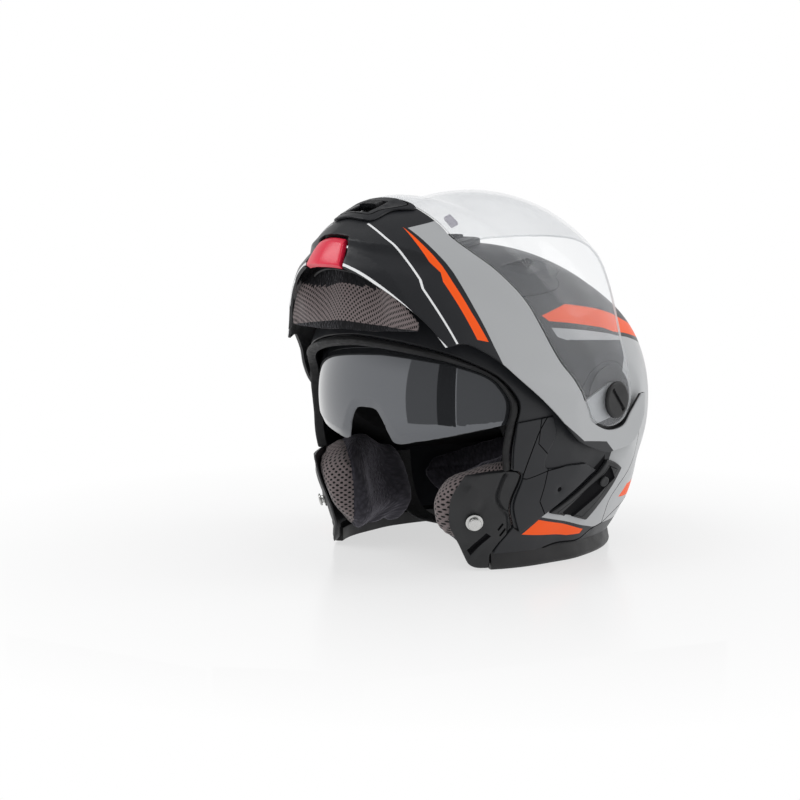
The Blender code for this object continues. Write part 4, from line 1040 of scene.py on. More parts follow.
def neck_rim():
    """The rubber band under the shell, with rounded lips."""
    band, lean, top = 6.0, 1.5, SHELL_EDGE - GAP
    ends = lower_edge(SHELL, top, RIM_START + 0.5, step=2.5)         # up to the jaw cover
    spots = [SHELL.points(*p) for p in ends]
    spots.append(SHELL.points(MID, rear_alpha(SHELL, MID, top)))
    spots += [p * np.array([-1, 1, 1]) for p in spots[-2::-1]]
    spots = np.array(spots)
    ahead = np.gradient(spots, axis=0)
    outward = np.stack([-ahead[:, 1], ahead[:, 0], np.zeros(len(spots))], -1)
    outward /= np.linalg.norm(outward, axis=1)[:, None]
    outward *= np.sign(np.sum(outward[:, :2] * spots[:, :2], 1))[:, None]
    height = top - FLOOR
    section = [(-1.6, top + 2.6), (-0.7, top + 2.5), (-0.1, top - 0.2), (0.3, top - 1.3),   # the lip
               (0.9, top - 0.45 * height),
               (lean, FLOOR + 3.4), (lean - 0.4, FLOOR + 1.6), (lean - 1.6, FLOOR), (1.0 - band, FLOOR),
               (0.3 - band, FLOOR + 0.3), (-band, FLOOR + 1.0), (-band, top - 0.6), (0.6 - band, top)]
    rings = [np.array([[*(spot[:2] + out[:2] * shift), z] for shift, z in section])
             for spot, out in zip(spots, outward)]
    seat(loft("neck_rim_band", rings, TRIM), "helmet_shell", "neck_rim_trim")


# ---------------------------------------------------------------- turned and swept pieces

def turned(name, profile, base, axis, look, side="both", sides=48, shape=None):
    """A solid of revolution: (radius, height) pairs from the axis back to the axis, along axis from base."""
    turns = 2 * np.pi * np.arange(sides) / sides
    verts, starts = [], []
    for radius, height in profile:
        starts.append(len(verts))
        ring = [(0.0, 0.0, height)] if radius == 0 else \
            [(radius * math.cos(t), radius * math.sin(t), height) for t in turns]
        verts += ring
    sizes = np.diff(starts + [len(verts)])
    polygons = []
    order = list(range(len(profile)))
    steps = list(zip(order, order[1:])) + ([] if profile[0][0] == 0 else [(order[-1], 0)])
    for a, b in steps:
        for k in range(sides):
            n = (k + 1) % sides
            ring = [starts[a] + (k % sizes[a]), starts[a] + (n % sizes[a]), starts[b] + (n % sizes[b]),
                    starts[b] + (k % sizes[b])]
            polygons.append(tuple(dict.fromkeys(ring)))
    spin = np.array(Vector((0, 0, 1)).rotation_difference(Vector(axis)).to_matrix())
    verts = np.array(verts)
    if shape:
        verts = shape(verts)
    verts = verts @ spin.T + np.array(base)
    polygons = [p[::-1] for p in polygons] if profile_faces_in(profile) else polygons
    number = np.zeros(len(polygons), int)
    return [assemble(name + tail, verts * np.array([way, 1, 1]), polygons, number, [look], flip=way < 0,
                     sharp=50.0)
            for tail, way in (("_left", 1), ("_right", -1)) if side in ("both", tail[1:])]


def profile_faces_in(profile):
    """Whether a profile that runs from the base up to the top gives faces that look inward."""
    area = sum(a[0] * b[1] - b[0] * a[1] for a, b in zip(profile, profile[1:] + profile[:1]))
    return area < 0


def loft(name, rings, look, weave=None):
    """A bar through like sections, with flat ends."""
    size = len(rings[0])
    verts = np.concatenate(rings)
    polygons = []
    for k in range(len(rings) - 1):
        for n in range(size):
            m = (n + 1) % size
            polygons.append((k * size + n, k * size + m, (k + 1) * size + m, (k + 1) * size + n))
    polygons.append(tuple(range(size))[::-1])
    polygons.append(tuple(len(verts) - size + n for n in range(size)))
    obj = assemble(name, verts, polygons, np.zeros(len(polygons), int), [look])
    outward(obj)
    if weave is not None:
        store_weave(obj, weave)
    return obj


def outward(obj):
    """Turns a closed mesh's faces outward."""
    mesh = bmesh.new()
    mesh.from_mesh(obj.data)
    bmesh.ops.recalc_face_normals(mesh, faces=mesh.faces)
    mesh.to_mesh(obj.data)
    mesh.free()


def store_weave(obj, values):
    """Keeps a pattern's place, in millimetres, on every point of a piece."""
    stored = obj.data.attributes.new("weave", "FLOAT_VECTOR", "POINT")
    stored.data.foreach_set("vector", np.asarray(values, np.float32).ravel())


# ---------------------------------------------------------------- the chin bar

CHIN_TOP = [(MID, -10.6, 1), (74, -14.6), (68.7, -16.9), (63.2, -17.6), (56, -17.9), (46.4, -19.8),
            (38.4, -24.6), (28.6, -34.6), (21.2, -43.8), (15.0, -71.8), (13.6, -91.7), (10.4, -131.7),
            (10.0, -180), (10.0, -215), (12.0, -236), (14.6, -248, 1)]
CHIN_LOW = [(17.4, -248, 1), (17.6, -220), (17.8, -190), (16.6, -154), (17.4, -134.7), (20.7, -101.9),
            (23.0, -87.9), (26.5, -72.9), (31.7, -61.8), (40.0, -51.9), (45.8, -47.0), (51.3, -44.6),
            (56.2, -43.8), (60.5, -46.4, 1), (65.2, -42.0), (71.5, -38.6), (78.7, -36.0), (84.6, -34.7, 1)]
BUTTON_TOP = -27.6
CHIN_EDGE = CHIN_TOP + CHIN_LOW + [(86.4, BUTTON_TOP, 1), (MID, BUTTON_TOP, 1)]
CHIN_HOLE = [(MID, -20.5, 1), (85.0, -20.5, 1), (84.0, -16.0, 1), (MID, -16.0, 1)]
CHIN_VENT = [(MID, -22.6, 1), (84.6, -22.2), (83.2, -17), (79.8, -13.8), (82, -12.2), (MID, -11.6, 1)]
CHIN_SLOT = [(MID, -20.0, 1), (86.8, -20.0, 1), (86.8, -13.8, 1), (MID, -13.8, 1)]
CHIN_FOAM = [(MID, -13.4, 1), (76, -16.6), (68, -20.0), (66.6, -26), (68.5, -33, 1), (76, -31.6),
             (81, -26.6, 1), (MID, -26.6, 1)]
CURTAIN_TOP = [(68.0, -41.4, -4.6), (72.0, -38.2, -4.8), (76.0, -35.2, -7.5), (80.5, -31.4, -17.0),
               (85.0, -29.4, -18.6), (MID, -29.0, -19.0)]      # (rho, alpha, out) behind the chin bar
CURTAIN_FREE = [(68.0, -43.4, -7.5), (72.0, -44.0, -14.0), (76.0, -44.4, -20.0), (80.5, -45.0, -24.0),
                (85.0, -45.2, -27.0), (MID, -45.2, -28.0)]     # its free edge, toward the throat

CHIN_GREY = cornered([(77.3, -20.4), (73.7, -21.5), (66.7, -24.3), (64.3, -25.7), (56.9, -32.1),
                      (49.1, -41.5), (44.6, -49.0), (36.0, -60.0), (20.0, -100.0), (14.0, -135.0),
                      (19.0, -160.0), (19.5, -200.0), (19.0, -255.0), (8.0, -255.0), (8.0, -200.0),
                      (9.0, -131.7), (12.0, -91.7), (13.0, -71.8), (19.0, -43.8), (27.0, -33.0),
                      (37.0, -22.6), (46.0, -17.8), (56.0, -15.8), (63.2, -15.4), (69.0, -14.4),
                      (73.2, -12.6), (75.2, -17.0)])
CHIN_ORANGE = cornered([(78.3, -20.7), (69.9, -26.1), (66.7, -27.4), (65.4, -29.4), (53.6, -41.4),
                        (50.7, -40.8), (57.0, -33.9), (63.4, -28.3), (67.0, -25.6), (69.9, -24.1)])
LINE_PATH = [(84.8, -23.1), (79.5, -25.3, 1), (76.1, -26.8), (69.8, -31.5, 1), (68.6, -33.4, 1),
             (64.8, -36.8), (58.0, -44.5)]
EDGE_PATH = [(85.6, -34.0), (80.3, -35.1), (71.9, -38.5), (65.5, -42.5), (60.2, -46.4)]
CREASE_PATH = [(MID, -28.6), (83.0, -28.2), (78.8, -26.9), (74.1, -25.6), (68.8, -24.9)]
RIDGE_PATH = [(MID, -30.6), (81.8, -30.9), (76.4, -32.7), (72.1, -36.1), (68.5, -39.6)]
CREASE_STEP = 2.3                # millimetres that the side below the crease falls in


def ribbon_outline(points, half, taper=1.0):
    """The outline of a stripe along a path, which narrows to a share of its width."""
    path = outline(points, 1.5, closed=False)
    halves = half * np.linspace(1, taper, len(path))[:, None]
    side = parallel(path, 1.0, False) - path
    ring = np.concatenate([path + side * halves, (path - side * halves)[::-1]])
    return cornered(list(zip(*from_disc(ring))))


def chin_relief(spots):
    """The long crease from the button, with a hollow below it that ends in a soft ridge."""
    rho = from_disc(spots)[0]
    crease = outline(CREASE_PATH, 1.0, closed=False)
    far, way = beside(spots, crease)
    below = far * -way * np.sign(crease_side())
    fade = smooth(66.5, 72.0, rho)
    ridge = beside(spots, outline(RIDGE_PATH, 1.0, closed=False))[0]
    hollow = np.clip(below / 2.2, 0, 1) * (1 - smooth(3.4, 8.5, below))
    lift = 0.7 * np.exp(-(below / 1.5) ** 2)
    return fade * (lift - CREASE_STEP * hollow + 0.5 * np.exp(-(ridge / 0.7) ** 2))


def crease_side():
    """Which side of the crease the lower edge lies on: -1 or 1."""
    spot = on_disc(np.array([78.0]), np.array([-33.0]))
    return -beside(spot, outline(CREASE_PATH, 1.0, closed=False))[1][0]


def chin_parts():
    white = [(ribbon_outline(LINE_PATH, 0.3, 0.85), 3), (ribbon_outline(EDGE_PATH, 0.42, 0.75), 3)]
    seat(patch("chin_bar_painted", CHIN, CHIN_EDGE, 0, -CHIN_WALL, [BLACK, GREY, ORANGE, WHITE, COVER],
               zones=[(CHIN_GREY, 1), (CHIN_ORANGE, 2)] + white,
               creases=[CREASE_PATH, RIDGE_PATH], relief=chin_relief, notches=[CHIN_HOLE], step=1.3,
               rim=(0.3, 0.8), wall_look=4),
         "chin_bar", "chin_bar", raised=True)
    seat(patch("chin_liner_foam", CHIN, CHIN_FOAM, -CHIN_WALL - 2 * GAP,
               lambda r, a: -5.0 - 13.0 * smooth(64, 73, r), [FOAM], step=1.6, rim=(0.5, 1.0)),
         "chin_bar", "chin_bar_liner", raised=True)
    seat(patch("chin_vent_moulded", CHIN, CHIN_VENT, 2.8, 2 * GAP, [BLACK, GAP_SHADE],
               grooves=[Groove([(MID, -20.9), (85.9, -20.8), (84.8, -18.0), (81.6, -13.6), (83.4, -12.6)],
                               0.2, 0.9, 1)],
               relief=vent_relief, notches=[CHIN_SLOT], step=0.9, rim=(0.35, 0.9)),
         "chin_bar", "chin_vent_cover", raised=True)
    seat(patch("release_tray", CHIN, cornered([(MID, -28.4), (82, -28.4), (81, -34.0), (MID, -34.0)]),
               -13.4, -15.0, [TRIM], step=1.5, rim=(0.3, 0.5)),
         "chin_bar", "release_housing", raised=True)
    tab = [(MID, -16.6, 1), (87.6, -16.6, 1), (87.6, -14.4, 1), (MID, -14.4, 1)]
    seat(patch("chin_vent_thumb", CHIN, tab, 4.4, GAP, [COVER], relief=tab_ribs(-16.6, -14.4), step=0.4,
               rim=(0.25, 0.6)),
         "chin_vent_slider", "chin_vent_slider", raised=True)
    button = cornered([(MID, -28.2), (87.0, -28.2), (85.3, -34.6), (MID, -34.9)])
    seat(patch("release_button_glossy", CHIN, button, 0, -5.0, [RED],
               relief=lambda s: -1.6 * smooth(-29.6, -28.2, from_disc(s)[1]), step=0.7, rim=(0.3, 0.8)),
         "release_button", "release_button", raised=True)
    hook = cornered([(62.4, -36.0), (66.0, -36.0), (66.0, -40.0), (62.4, -41.0)])
    hooks = patch("latch_hook_forged", CHIN, hook, -3.6, -9.0, [STEEL], side="both", step=0.8, rim=(0.2, 0.5))
    for hook, tail in zip(hooks, ("left", "right")):
        seat(hook, "latch_hook_" + tail, "latch_hook_" + tail, raised=True)


def vent_relief(spots):
    """The vent cover falls away outside its inner step."""
    inner = outline([(MID, -20.9), (85.9, -20.8), (84.8, -18.0), (81.6, -13.6), (83.4, -12.6), (MID, -12.0)],
                    1.0, closed=False)
    rho = from_disc(spots)[0]
    return -0.8 * smooth(0, 1.5, beside(spots, inner)[0]) * (rho < 85.5)


# ---------------------------------------------------------------- visors

VISOR_EDGE = [(MID, -10.0, 1), (74, -14.0), (68.7, -16.3), (63.2, -17.0), (56, -17.3), (46.2, -19.2),
              (38.0, -23.8), (27.9, -33.6), (20.4, -42.6), (13.9, -71.8), (12.6, -91.7), (9.2, -131.7),
              (8.2, -180), (8.2, -215), (9.0, -250), (13.8, -306), (21, -321), (32, -323), (44, -320),
              (56, -315), (68, -310.5), (80, -307), (MID, -306, 1), (MID, -330), (MID, -350)]
SUN_EDGE = [(MID, 26, 1), (60, 25), (40, 22), (22, 21), (10, 40), (8, 90), (8, 180), (8, -90), (10, -45),
            (24, -14), (45, -13), (66, -15), (77, -16.0), (80, -12), (82, -7), (85, -3), (MID, -2.3, 1)]
SUN_BEVEL = [(24.5, -10.5), (45, -9.6), (66, -11.4), (74.5, -12.2), (77.0, -9.6), (79.4, -5.0), (84.0, 0.2),
             (MID, 1.0)]


def visor_relief(spots):
    """The thicker lip along the visor's lower edge."""
    lip = outline([(MID, -9.9), (74, -13.9), (63.2, -16.8), (46.2, -19.0), (38.0, -23.6), (27.9, -33.4),
                   (20.4, -42.4)], 1.0, closed=False)
    return -0.8 * (1 - smooth(0.6, 1.1, beside(spots, lip)[0]))


def visor_parts():
    seat(patch("visor_clear", CHIN, VISOR_EDGE, 0, -VISOR_WALL, [CLEAR, EDGE_HIGHLIGHT, CLEAR_TINT],
               relief=visor_relief, holes=[circle(4.5)], step=1.5, rim=(0.2, 0.5), wall_look=1,
               under_look=0),
         "visor", "visor", raised=True)
    tab = cornered([(72.5, -13.2), (70.0, -14.4), (69.4, -12.4), (72.0, -11.4)])
    seat(patch("visor_lift_tab_moulded", CHIN, tab, 4.0, GAP, [CLEAR_TINT], side="left", step=0.6,
               rim=(0.25, 0.8)),
         "visor", "visor_lift_tab", raised=True)

    def bevel(spots):
        """The ground band along the sun visor's lower edge falls in."""
        far, way = beside(spots, outline(SUN_BEVEL, 1.0, closed=False))
        low = from_disc(spots)[1] < 15
        return -1.5 * np.clip(far * -way / 4.0, 0, 1) * low

    sun = patch("sun_visor_smoked", SUN, SUN_EDGE, 0, -2.4, [SMOKE], relief=bevel, creases=[SUN_BEVEL],
                holes=[circle(1.6)], step=1.5, rim=(0.2, 0.6))
    sun.data.transform(Matrix.Translation(Vector(SUN_AT) * MM))
    seat(sun, "sun_visor", "sun_visor")


def cap_parts():
    """The caps that hold the visor, each with a coin slot."""
    def slotted(verts):
        turn = verts[:, :2] @ np.array([[0.66, -0.75], [0.75, 0.66]]).T
        in_slot = (np.abs(turn[:, 0]) < 1.5) & (np.abs(turn[:, 1]) < 11.0) & (verts[:, 2] > 5.0)
        verts[in_slot, 2] -= 1.6
        return verts

    rings = [(0, 2.9), (7.2, 2.9), (7.2, 0), (9.0, 0), (9.0, 2.9), (14.0, 2.9), (14.0, 4.2), (13.7, 4.7),
             (12.9, 5.1)] + [(radius, 5.3) for radius in np.arange(12.4, 0.3, -0.6)] + [(0, 5.3)]
    caps = turned("visor_cap_slotted", rings, (CHIN_FLAT - 2.6, 0, 0), (1, 0, 0), TRIM, sides=96,
                  shape=slotted)
    for cap, tail in zip(caps, ("left", "right")):
        seat(cap, "visor_pivot_cap_" + tail, "visor_pivot_cap_" + tail)


# ---------------------------------------------------------------- padded linings

def stuffed(name, node, voxel=0.0045, pressure=4.0, cap=0.006, calm=6, swell=0.0015):
    """A pad grown from its CAD solid: remeshed, blown up a little as cloth, and smoothed. cap is how far a
    point may move, calm the rounds of smoothing."""
    source = frame["nodes"][node]
    obj = bpy.data.objects.new(name, source.data.copy())
    bpy.context.scene.collection.objects.link(obj)
    remesh = obj.modifiers.new("even", "REMESH")
    remesh.mode, remesh.voxel_size = "VOXEL", voxel
    bake_modifiers(obj)
    start = points_of(obj)
    cloth = obj.modifiers.new("stuffing", "CLOTH")
    cloth.settings.use_pressure = True
    cloth.settings.uniform_pressure_force = pressure
    cloth.settings.tension_stiffness = cloth.settings.compression_stiffness = 40
    cloth.settings.effector_weights.gravity = 0
    cloth.point_cache.frame_end = 20
    for number in range(1, 21):
        bpy.context.scene.frame_set(number)
    bake_modifiers(obj)
    moved = points_of(obj) - start
    size = np.linalg.norm(moved, axis=1)
    moved *= (np.minimum(size, cap) / np.maximum(size, 1e-9))[:, None]
    set_points(obj, start + moved)
    relaxed = obj.modifiers.new("relaxed", "SMOOTH")
    relaxed.factor, relaxed.iterations = 0.6, calm
    swollen = obj.modifiers.new("swollen", "DISPLACE")
    swollen.strength, swollen.mid_level = swell, 0.0
    finer = obj.modifiers.new("finer", "SUBSURF")
    finer.levels = finer.render_levels = 1
    bake_modifiers(obj)
    obj.data.materials.clear()
    obj.data.shade_smooth()
    return obj


def bake_modifiers(obj):
    graph = bpy.context.evaluated_depsgraph_get()
    mesh = bpy.data.meshes.new_from_object(obj.evaluated_get(graph))
    obj.modifiers.clear()
    obj.data = mesh


def points_of(obj):
    flat = np.zeros(len(obj.data.vertices) * 3)
    obj.data.vertices.foreach_get("co", flat)
    return flat.reshape(-1, 3)


def set_points(obj, points):
    obj.data.vertices.foreach_set("co", np.asarray(points, np.float32).ravel())
    obj.data.update()


def seam(obj, spot, normal, front_look, back_look=None, depth=0.0012, reach=0.0045):
    """Cuts a pad's cover along a plane, sinks the cut as a sewn seam and gives each side a material."""
    if not obj.data.materials:
        obj.data.materials.append(front_look)
    looks = list(obj.data.materials)
    if back_look is not None and back_look not in looks:
        obj.data.materials.append(back_look)
        looks.append(back_look)
    spot, normal = Vector(spot), Vector(normal).normalized()
    mesh = bmesh.new()
    mesh.from_mesh(obj.data)
    bmesh.ops.bisect_plane(mesh, geom=list(mesh.verts) + list(mesh.edges) + list(mesh.faces), dist=1e-5,
                           plane_co=spot, plane_no=normal)
    mesh.normal_update()
    for vert in mesh.verts:
        off = abs((vert.co - spot).dot(normal))
        if off < reach:
            vert.co -= vert.normal * depth * (1 - off / reach) ** 2
    if back_look is not None:
        for face in mesh.faces:
            if (face.calc_center_median() - spot).dot(normal) > 0:
                face.material_index = looks.index(back_look)
    mesh.to_mesh(obj.data)
    mesh.free()
    obj.data.shade_smooth()


def mirrored(obj, name):
    """The same piece on the wearer's right."""
    twin = bpy.data.objects.new(name, obj.data.copy())
    bpy.context.scene.collection.objects.link(twin)
    mesh = bmesh.new()
    mesh.from_mesh(twin.data)
    bmesh.ops.transform(mesh, matrix=Matrix.Scale(-1, 4, (1, 0, 0)), verts=mesh.verts)
    bmesh.ops.reverse_faces(mesh, faces=mesh.faces)
    mesh.to_mesh(twin.data)
    mesh.free()
    return twin


def held_in(obj, room=0.5):
    """Points nearer than room, in millimetres, to the inside of the shell and jaw covers go back."""
    spots = points_of(obj) / MM - np.array(PIVOT) / MM
    size = np.linalg.norm(spots, axis=1)
    rho = np.degrees(np.arccos(np.abs(spots[:, 0]) / size))
    alpha = np.degrees(np.arctan2(spots[:, 2], -spots[:, 1]))
    reach = np.linalg.norm(SHELL.points(rho, alpha, -SHELL_WALL - room), axis=1)
    spots *= np.minimum(1, reach / size)[:, None]
    set_points(obj, spots * MM + np.array(PIVOT))


def settle(obj, body, node):
    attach(obj, body)
    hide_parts(node)


def cheek_weave(points):
    """Round the pad's rolled front, by angle, and up it, in millimetres."""
    middle = (0.078, -0.045)                       # a line up the inside of the pad
    turn = np.arctan2(points[:, 1] - middle[1], points[:, 0] - middle[0])
    return np.stack([turn * 34.0, points[:, 2] / MM, np.zeros(len(points))], -1)


def cheek_pads():
    pad = stuffed("cheek_pad_padded_left", "cheek_pad_left", cap=0.004, calm=7)
    held_in(pad)
    seam(pad, (0.060, -0.070, 0.040), (-0.60, 0.80, 0.05), MESH, VELOUR)
    store_weave(pad, cheek_weave(points_of(pad)))
    twin = mirrored(pad, "cheek_pad_padded_right")
    settle(pad, "helmet_shell", "cheek_pad_left")
    settle(twin, "helmet_shell", "cheek_pad_right")


def flat_weave(points, across, up):
    return np.stack([points[:, across] / MM, points[:, up] / MM, np.zeros(len(points))], -1)


def round_weave(points):
    turn = np.arctan2(points[:, 0], points[:, 1])
    return np.stack([turn * 95.0, points[:, 2] / MM, np.zeros(len(points))], -1)


def other_pads():
    roll = stuffed("neck_roll_padded", "neck_roll", cap=0.005, calm=5)
    seam(roll, (0, 0, 0.030), (0, 0.25, -1.0), VELOUR)
    store_weave(roll, round_weave(points_of(roll)))
    settle(roll, "helmet_shell", "neck_roll")

    crown = stuffed("crown_liner_padded", "crown_comfort_liner", cap=0.004, calm=4, swell=0.0008)
    for x in (-0.03, 0.03):
        seam(crown, (x, 0, 0), (1, 0, 0), KNIT)
    store_weave(crown, flat_weave(points_of(crown), 0, 1))
    settle(crown, "helmet_shell", "crown_comfort_liner")

    chin_curtain()


CURTAIN_HALF, CURTAIN_HEM = 1.1, 3.6             # half its thickness and the width of its bound hem
CURTAIN_BLACK = -math.tan(math.radians(35.6))    # the cloth above this slope is plain black


def chin_curtain():
    """The mesh curtain behind the chin bar's lower edge, slack between its sewn edges, with a bound hem."""
    rows = []
    for edge in (CURTAIN_TOP, CURTAIN_FREE):
        rho, alpha, out = (np.array(values) for values in zip(*edge))
        half = CHIN.points(rho, alpha, out)
        half[-1, 0] = 0.0
        rows.append(np.concatenate([half * np.array([-1, 1, 1]), half[-2::-1]]))
    length = np.concatenate([[0], np.cumsum(np.linalg.norm(np.diff(rows[0], axis=0), axis=1))])
    at = np.arange(0, length[-1] + 0.1, 1.5)
    top, free = (np.stack([Curve(list(zip(length, row[:, k])))(at) for k in range(3)], -1) for row in rows)
    normal = np.cross(np.gradient(top, axis=0), free - top)
    normal /= np.linalg.norm(normal, axis=1)[:, None]
    across = np.linspace(0, 1, 19)
    rings, weave = [], []
    for k in range(len(at)):
        drop = np.linalg.norm(free[k] - top[k])
        slack = 1.2 * math.sin(0.11 * at[k]) * np.sin(np.pi * across)
        half = np.where(across * drop > drop - CURTAIN_HEM, CURTAIN_HALF + 0.5, CURTAIN_HALF)
        half = half * np.clip(np.sin(np.pi * np.clip(across * 0.96 + 0.02, 0, 1)) * 4, 0.3, 1)
        line = top[k] + (free[k] - top[k]) * across[:, None] + normal[k] * slack[:, None]
        thick = normal[k] * half[:, None]
        rings.append(np.concatenate([line + thick, (line - thick)[::-1]]))
        run = across * drop
        weave += [(at[k], reach, 0.0) for reach in [*run, *run[::-1]]]
    curtain = loft("chin_curtain_mesh", rings, MESH, weave=np.array(weave))
    curtain.data.materials.append(KNIT)
    size = len(rings[0])
    for index, face in enumerate(curtain.data.polygons):
        column = index % size
        spot = column if column < len(across) - 1 else size - 2 - column
        if index >= size * (len(rings) - 1) or not 0 <= spot < len(across) - 1:
            continue
        middle = np.mean([rings[k][column] for k in (index // size, index // size + 1)], axis=0)
        if across[spot] > 0.88 or middle[2] > -middle[1] * CURTAIN_BLACK:
            face.material_index = 1
    seat(curtain, "chin_bar", "chin_curtain", raised=True)


# ---------------------------------------------------------------- the chin strap

STRAP_Y = 12.0
STRAP_WIDTH, STRAP_THICK = 20.0, 1.6
STRAP_DROP = [(104, -62), (102, -80), (97, -98), (89, -111), (76, -117), (62, -118)]
STRAP_LOW = STRAP_DROP[-1][1]
BUCKLE = (12.0, 46.0)
LEVER_END, LEVER_TOP = 43.0, -114.2


def strap(name, path):
    """A woven ribbon along a path in the X-Z plane, with rounded selvedges."""
    knots = np.array(path, float)
    length = np.concatenate([[0], np.cumsum(np.linalg.norm(np.diff(knots, axis=0), axis=1))])
    at = np.arange(0, length[-1], 2.0)
    curve_x, curve_z = Curve(list(zip(length, knots[:, 0]))), Curve(list(zip(length, knots[:, 1])))
    spots = np.stack([curve_x(at), curve_z(at)], -1)
    spots = np.concatenate([spots, knots[-1:]])
    ahead = np.gradient(spots, axis=0)
    ahead /= np.linalg.norm(ahead, axis=1)[:, None]
    half, thick = STRAP_WIDTH / 2, STRAP_THICK / 2
    section = [(-half, -0.3), (-half + 0.4, -thick), (-half / 2, -thick), (0, -thick), (half / 2, -thick),
               (half - 0.4, -thick), (half, -0.3), (half, 0.3), (half - 0.4, thick), (half / 2, thick),
               (0, thick), (-half / 2, thick), (-half + 0.4, thick), (-half, 0.3)]
    rings, weave = [], []
    for k, (spot, way) in enumerate(zip(spots, ahead)):
        across = np.array([-way[1], way[0]])
        rings.append(np.array([[spot[0] + across[0] * t, STRAP_Y + y, spot[1] + across[1] * t]
                               for y, t in section]))
        weave += [(y, k * 2.0, 0.0) for y, t in section]
    return loft(name, rings, WEBBING, weave=np.array(weave))


def rounded_block(name, low, high, look, width=0.8, cuts=0, tooth=0.0):
    """A box between two corners, its edges rounded; cuts adds teeth of a height along X on its top."""
    low, high = np.array(low, float), np.array(high, float)
    xs = np.linspace(low[0], high[0], cuts * 2 + 2) if cuts else np.array([low[0], high[0]])
    rings = []
    for k, x in enumerate(xs):
        top = high[2] - (tooth if cuts and k % 2 else 0)
        corners = ((low[1], low[2]), (high[1], low[2]), (high[1], top), (low[1], top))
        rings.append(np.array([[x, y, z] for y, z in corners]))
    block = loft(name, rings, look)
    bevel = block.modifiers.new("rounded", "BEVEL")
    bevel.width, bevel.segments, bevel.limit_method = min(width, 0.45 * (high - low).min()) * MM, 3, "ANGLE"
    bake_modifiers(block)
    weighted = block.modifiers.new("even normals", "WEIGHTED_NORMAL")
    weighted.keep_sharp = True
    return block


def strap_parts():
    for tail, sign, end in (("left", 1, BUCKLE[1] + 1), ("right", -1, -8)):
        path = [(sign * x, z) for x, z in STRAP_DROP] + [(sign * end, STRAP_LOW)]
        seat(strap("chin_strap_woven_" + tail, path), "helmet_shell", "chin_strap_" + tail)
    near, far = STRAP_Y - 12, STRAP_Y + 12
    seat(rounded_block("ratchet_strip_toothed", (8.6, near + 3, STRAP_LOW - 0.8),
                       (39, far - 3, STRAP_LOW + 0.8), COVER, 0.3, cuts=10, tooth=0.5),
         "helmet_shell", "ratchet_strip")
    seat(rounded_block("strap_buckle_plate", (BUCKLE[0], near, STRAP_LOW - 3.6),
                       (BUCKLE[1], far, STRAP_LOW - 1.2), STEEL, 0.7),
         "helmet_shell", "strap_buckle")
    seat(rounded_block("buckle_lever_moulded", (BUCKLE[0] + 2, near + 1, STRAP_LOW + 1.2),
                       (LEVER_END, far - 1, LEVER_TOP), RED, 0.8), "buckle_lever",
         "buckle_lever")


def kept_nodes():
    """CAD pieces whose shape is right, with finished materials."""
    finishes = {"eps_liner": EPS, "hinge_base_plate_left": TRIM, "hinge_base_plate_right": TRIM,
                "hinge_arm_left": GREY, "hinge_arm_right": GREY, "hinge_bolt_left": STEEL,
                "hinge_bolt_right": STEEL, "sun_visor_pivot_left": STEEL, "sun_visor_pivot_right": STEEL,
                "strap_rivet_left": STEEL, "strap_rivet_right": STEEL}
    for node, look in finishes.items():
        for place in frame["nodes"][node].material_slots:
            place.material = look


# ---------------------------------------------------------------- studio

def emission(name, colour, strength):
    look = bpy.data.materials.new(name)
    look.use_nodes = True
    nodes = look.node_tree.nodes
    nodes.remove(nodes["Principled BSDF"])
    glow = nodes.new("ShaderNodeEmission")
    glow.inputs["Color"].default_value = (*colour, 1)
    glow.inputs["Strength"].default_value = strength
    look.node_tree.links.new(glow.outputs["Emission"], nodes["Material Output"].inputs["Surface"])
    return look


BACKGROUND = 1.0                 # brightness of the world near the horizon and of the far floor
CEILING = 0.42                   # brightness overhead
FLOOR_GLOW = 0.62                # share of the background's brightness in the floor under the helmet
GLOW_REACH = (0.14, 0.5)         # metres from the middle over which that share rises to 1
CARD_HEIGHT = 0.5
CARDS = [("grey_card", 12.0, 15.0, 0.34), ("black_card", 35.5, 8.5, 0.04), ("side_card", 66.0, 22.0, 0.34)]


def floor():
    """A white floor that brightens into the background away from the helmet."""
    bpy.ops.mesh.primitive_circle_add(vertices=96, radius=30, fill_type="NGON", location=(0, 0, -0.0004))
    plane = bpy.context.object
    plane.name = "studio_floor"
    look = Look("white_floor", (0.86, 0.86, 0.865), 0.22, Specular_IOR_Level=0.35)
    look.tint(look.noise(3.0, 2.0), (0.85, 0.85, 0.855), (0.87, 0.87, 0.875))
    spot = look.place()
    reach = look.node("ShaderNodeVectorMath", operation="LENGTH")
    look.link(spot, reach.inputs[0])
    glow = look.node("ShaderNodeEmission")
    glow.inputs["Color"].default_value = (1, 1, 1, 1)
    glow.inputs["Strength"].default_value = BACKGROUND
    share = look.spread(reach.outputs["Value"], FLOOR_GLOW, 1.0, *GLOW_REACH)
    mixed = look.node("ShaderNodeMixShader")
    look.link(share, mixed.inputs["Fac"])
    look.link(look.shader.outputs["BSDF"], mixed.inputs[1])
    look.link(glow.outputs["Emission"], mixed.inputs[2])
    look.link(mixed.outputs["Shader"], look.out.inputs["Surface"])
    plane.data.materials.append(look.material)


def area_light(name, place, target, size, power, colour=(1, 1, 1)):
    data = bpy.data.lights.new(name, "AREA")
    data.shape, data.size, data.size_y = "RECTANGLE", size[0], size[1]
    data.energy, data.color = power, colour
    light = bpy.data.objects.new(name, data)
    light.location = place
    light.rotation_euler = (Vector(place) - Vector(target)).to_track_quat("Z", "Y").to_euler()
    bpy.context.scene.collection.objects.link(light)


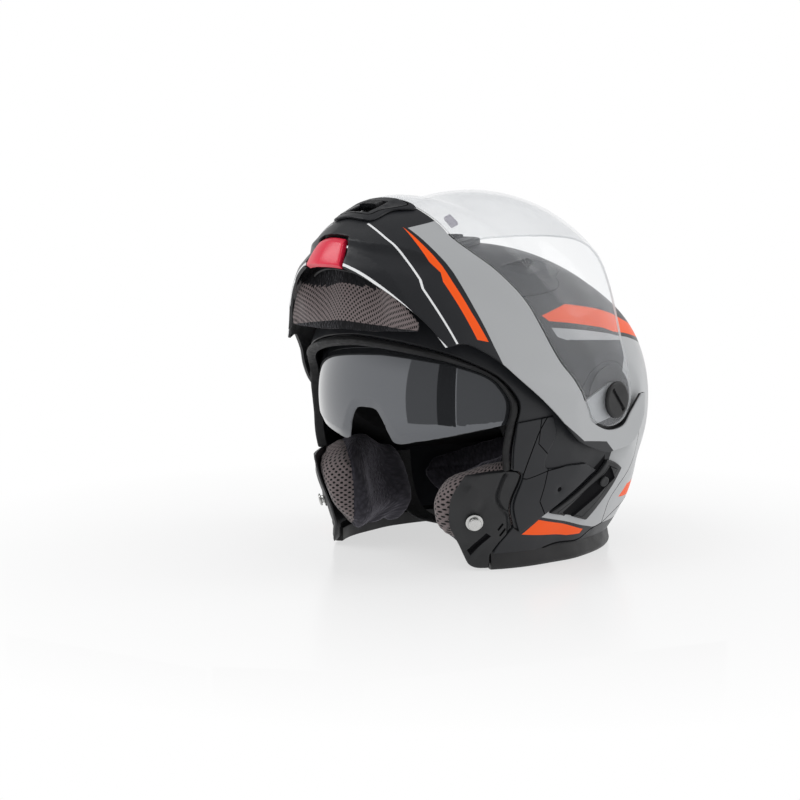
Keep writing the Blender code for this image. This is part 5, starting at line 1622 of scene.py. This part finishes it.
def card(name, turn, half, low, high, strength, middle=(0.0, -0.11), reach=0.3):
    """An upright card round the face opening that only reflections see: turn is its middle, in degrees
    from straight ahead toward the wearer's left, and half its half width in degrees."""
    width = reach * math.tan(math.radians(half))
    mesh = bpy.data.meshes.new(name)
    mesh.from_pydata([(-width, 0, low), (width, 0, low), (width, 0, high), (-width, 0, high)], [],
                     [(0, 1, 2, 3)])
    mesh.materials.append(emission(name, (1.0, 1.0, 1.0), strength))
    made = bpy.data.objects.new(name, mesh)
    angle = math.radians(turn)
    made.location = (middle[0] + reach * math.sin(angle), middle[1] - reach * math.cos(angle), 0)
    made.rotation_euler = (0, 0, angle)
    made.visible_camera = made.visible_shadow = made.visible_diffuse = made.visible_transmission = False
    bpy.context.scene.collection.objects.link(made)


def sky():
    """A white horizon that darkens overhead."""
    world = bpy.data.worlds.new("white_room")
    bpy.context.scene.world = world
    world.use_nodes = True
    nodes, links = world.node_tree.nodes, world.node_tree.links
    background = nodes["Background"]
    background.inputs["Color"].default_value = (1, 1, 1, 1)
    place, split = nodes.new("ShaderNodeTexCoord"), nodes.new("ShaderNodeSeparateXYZ")
    height = nodes.new("ShaderNodeMapRange")
    height.interpolation_type = "SMOOTHSTEP"
    for socket, number in (("From Min", 0.2), ("From Max", 0.6), ("To Min", BACKGROUND), ("To Max", CEILING)):
        height.inputs[socket].default_value = number
    links.new(place.outputs["Generated"], split.inputs["Vector"])
    links.new(split.outputs["Z"], height.inputs["Value"])
    links.new(height.outputs["Result"], background.inputs["Strength"])


def studio():
    bpy.context.scene.view_settings.view_transform = "Standard"
    sky()
    floor()
    for name, turn, half, strength in CARDS:
        card(name, turn, half, 0.0, CARD_HEIGHT, strength)
    area_light("key_softbox", (-0.4, -0.9, 1.5), (0, 0, 0.15), (0.9, 0.9), 9.0)
    area_light("rear_softbox", (0.9, 1.0, 1.2), (0, 0, 0.15), (0.7, 1.0), 7.0)


def camera():
    """The photograph's view: from the front left, a little above."""
    data = bpy.data.cameras.new("photo_view")
    data.lens, data.sensor_width = 72.0, 36.0
    data.clip_start, data.clip_end = 0.01, 100.0
    made = bpy.data.objects.new("photo_view", data)
    made.location = (0.8459, -0.9672, 0.2511)
    back = Vector((0.6846, -0.7215, 0.1038)).normalized()
    right = Vector((0.7254, 0.6884, 0.0)).normalized()
    up = back.cross(right)
    made.rotation_euler = Matrix((right, up, back)).transposed().to_euler()
    bpy.context.scene.collection.objects.link(made)
    bpy.context.scene.camera = made


camera()
studio()
shell_parts()
chin_parts()
visor_parts()
cap_parts()
cheek_pads()
other_pads()
strap_parts()
kept_nodes()
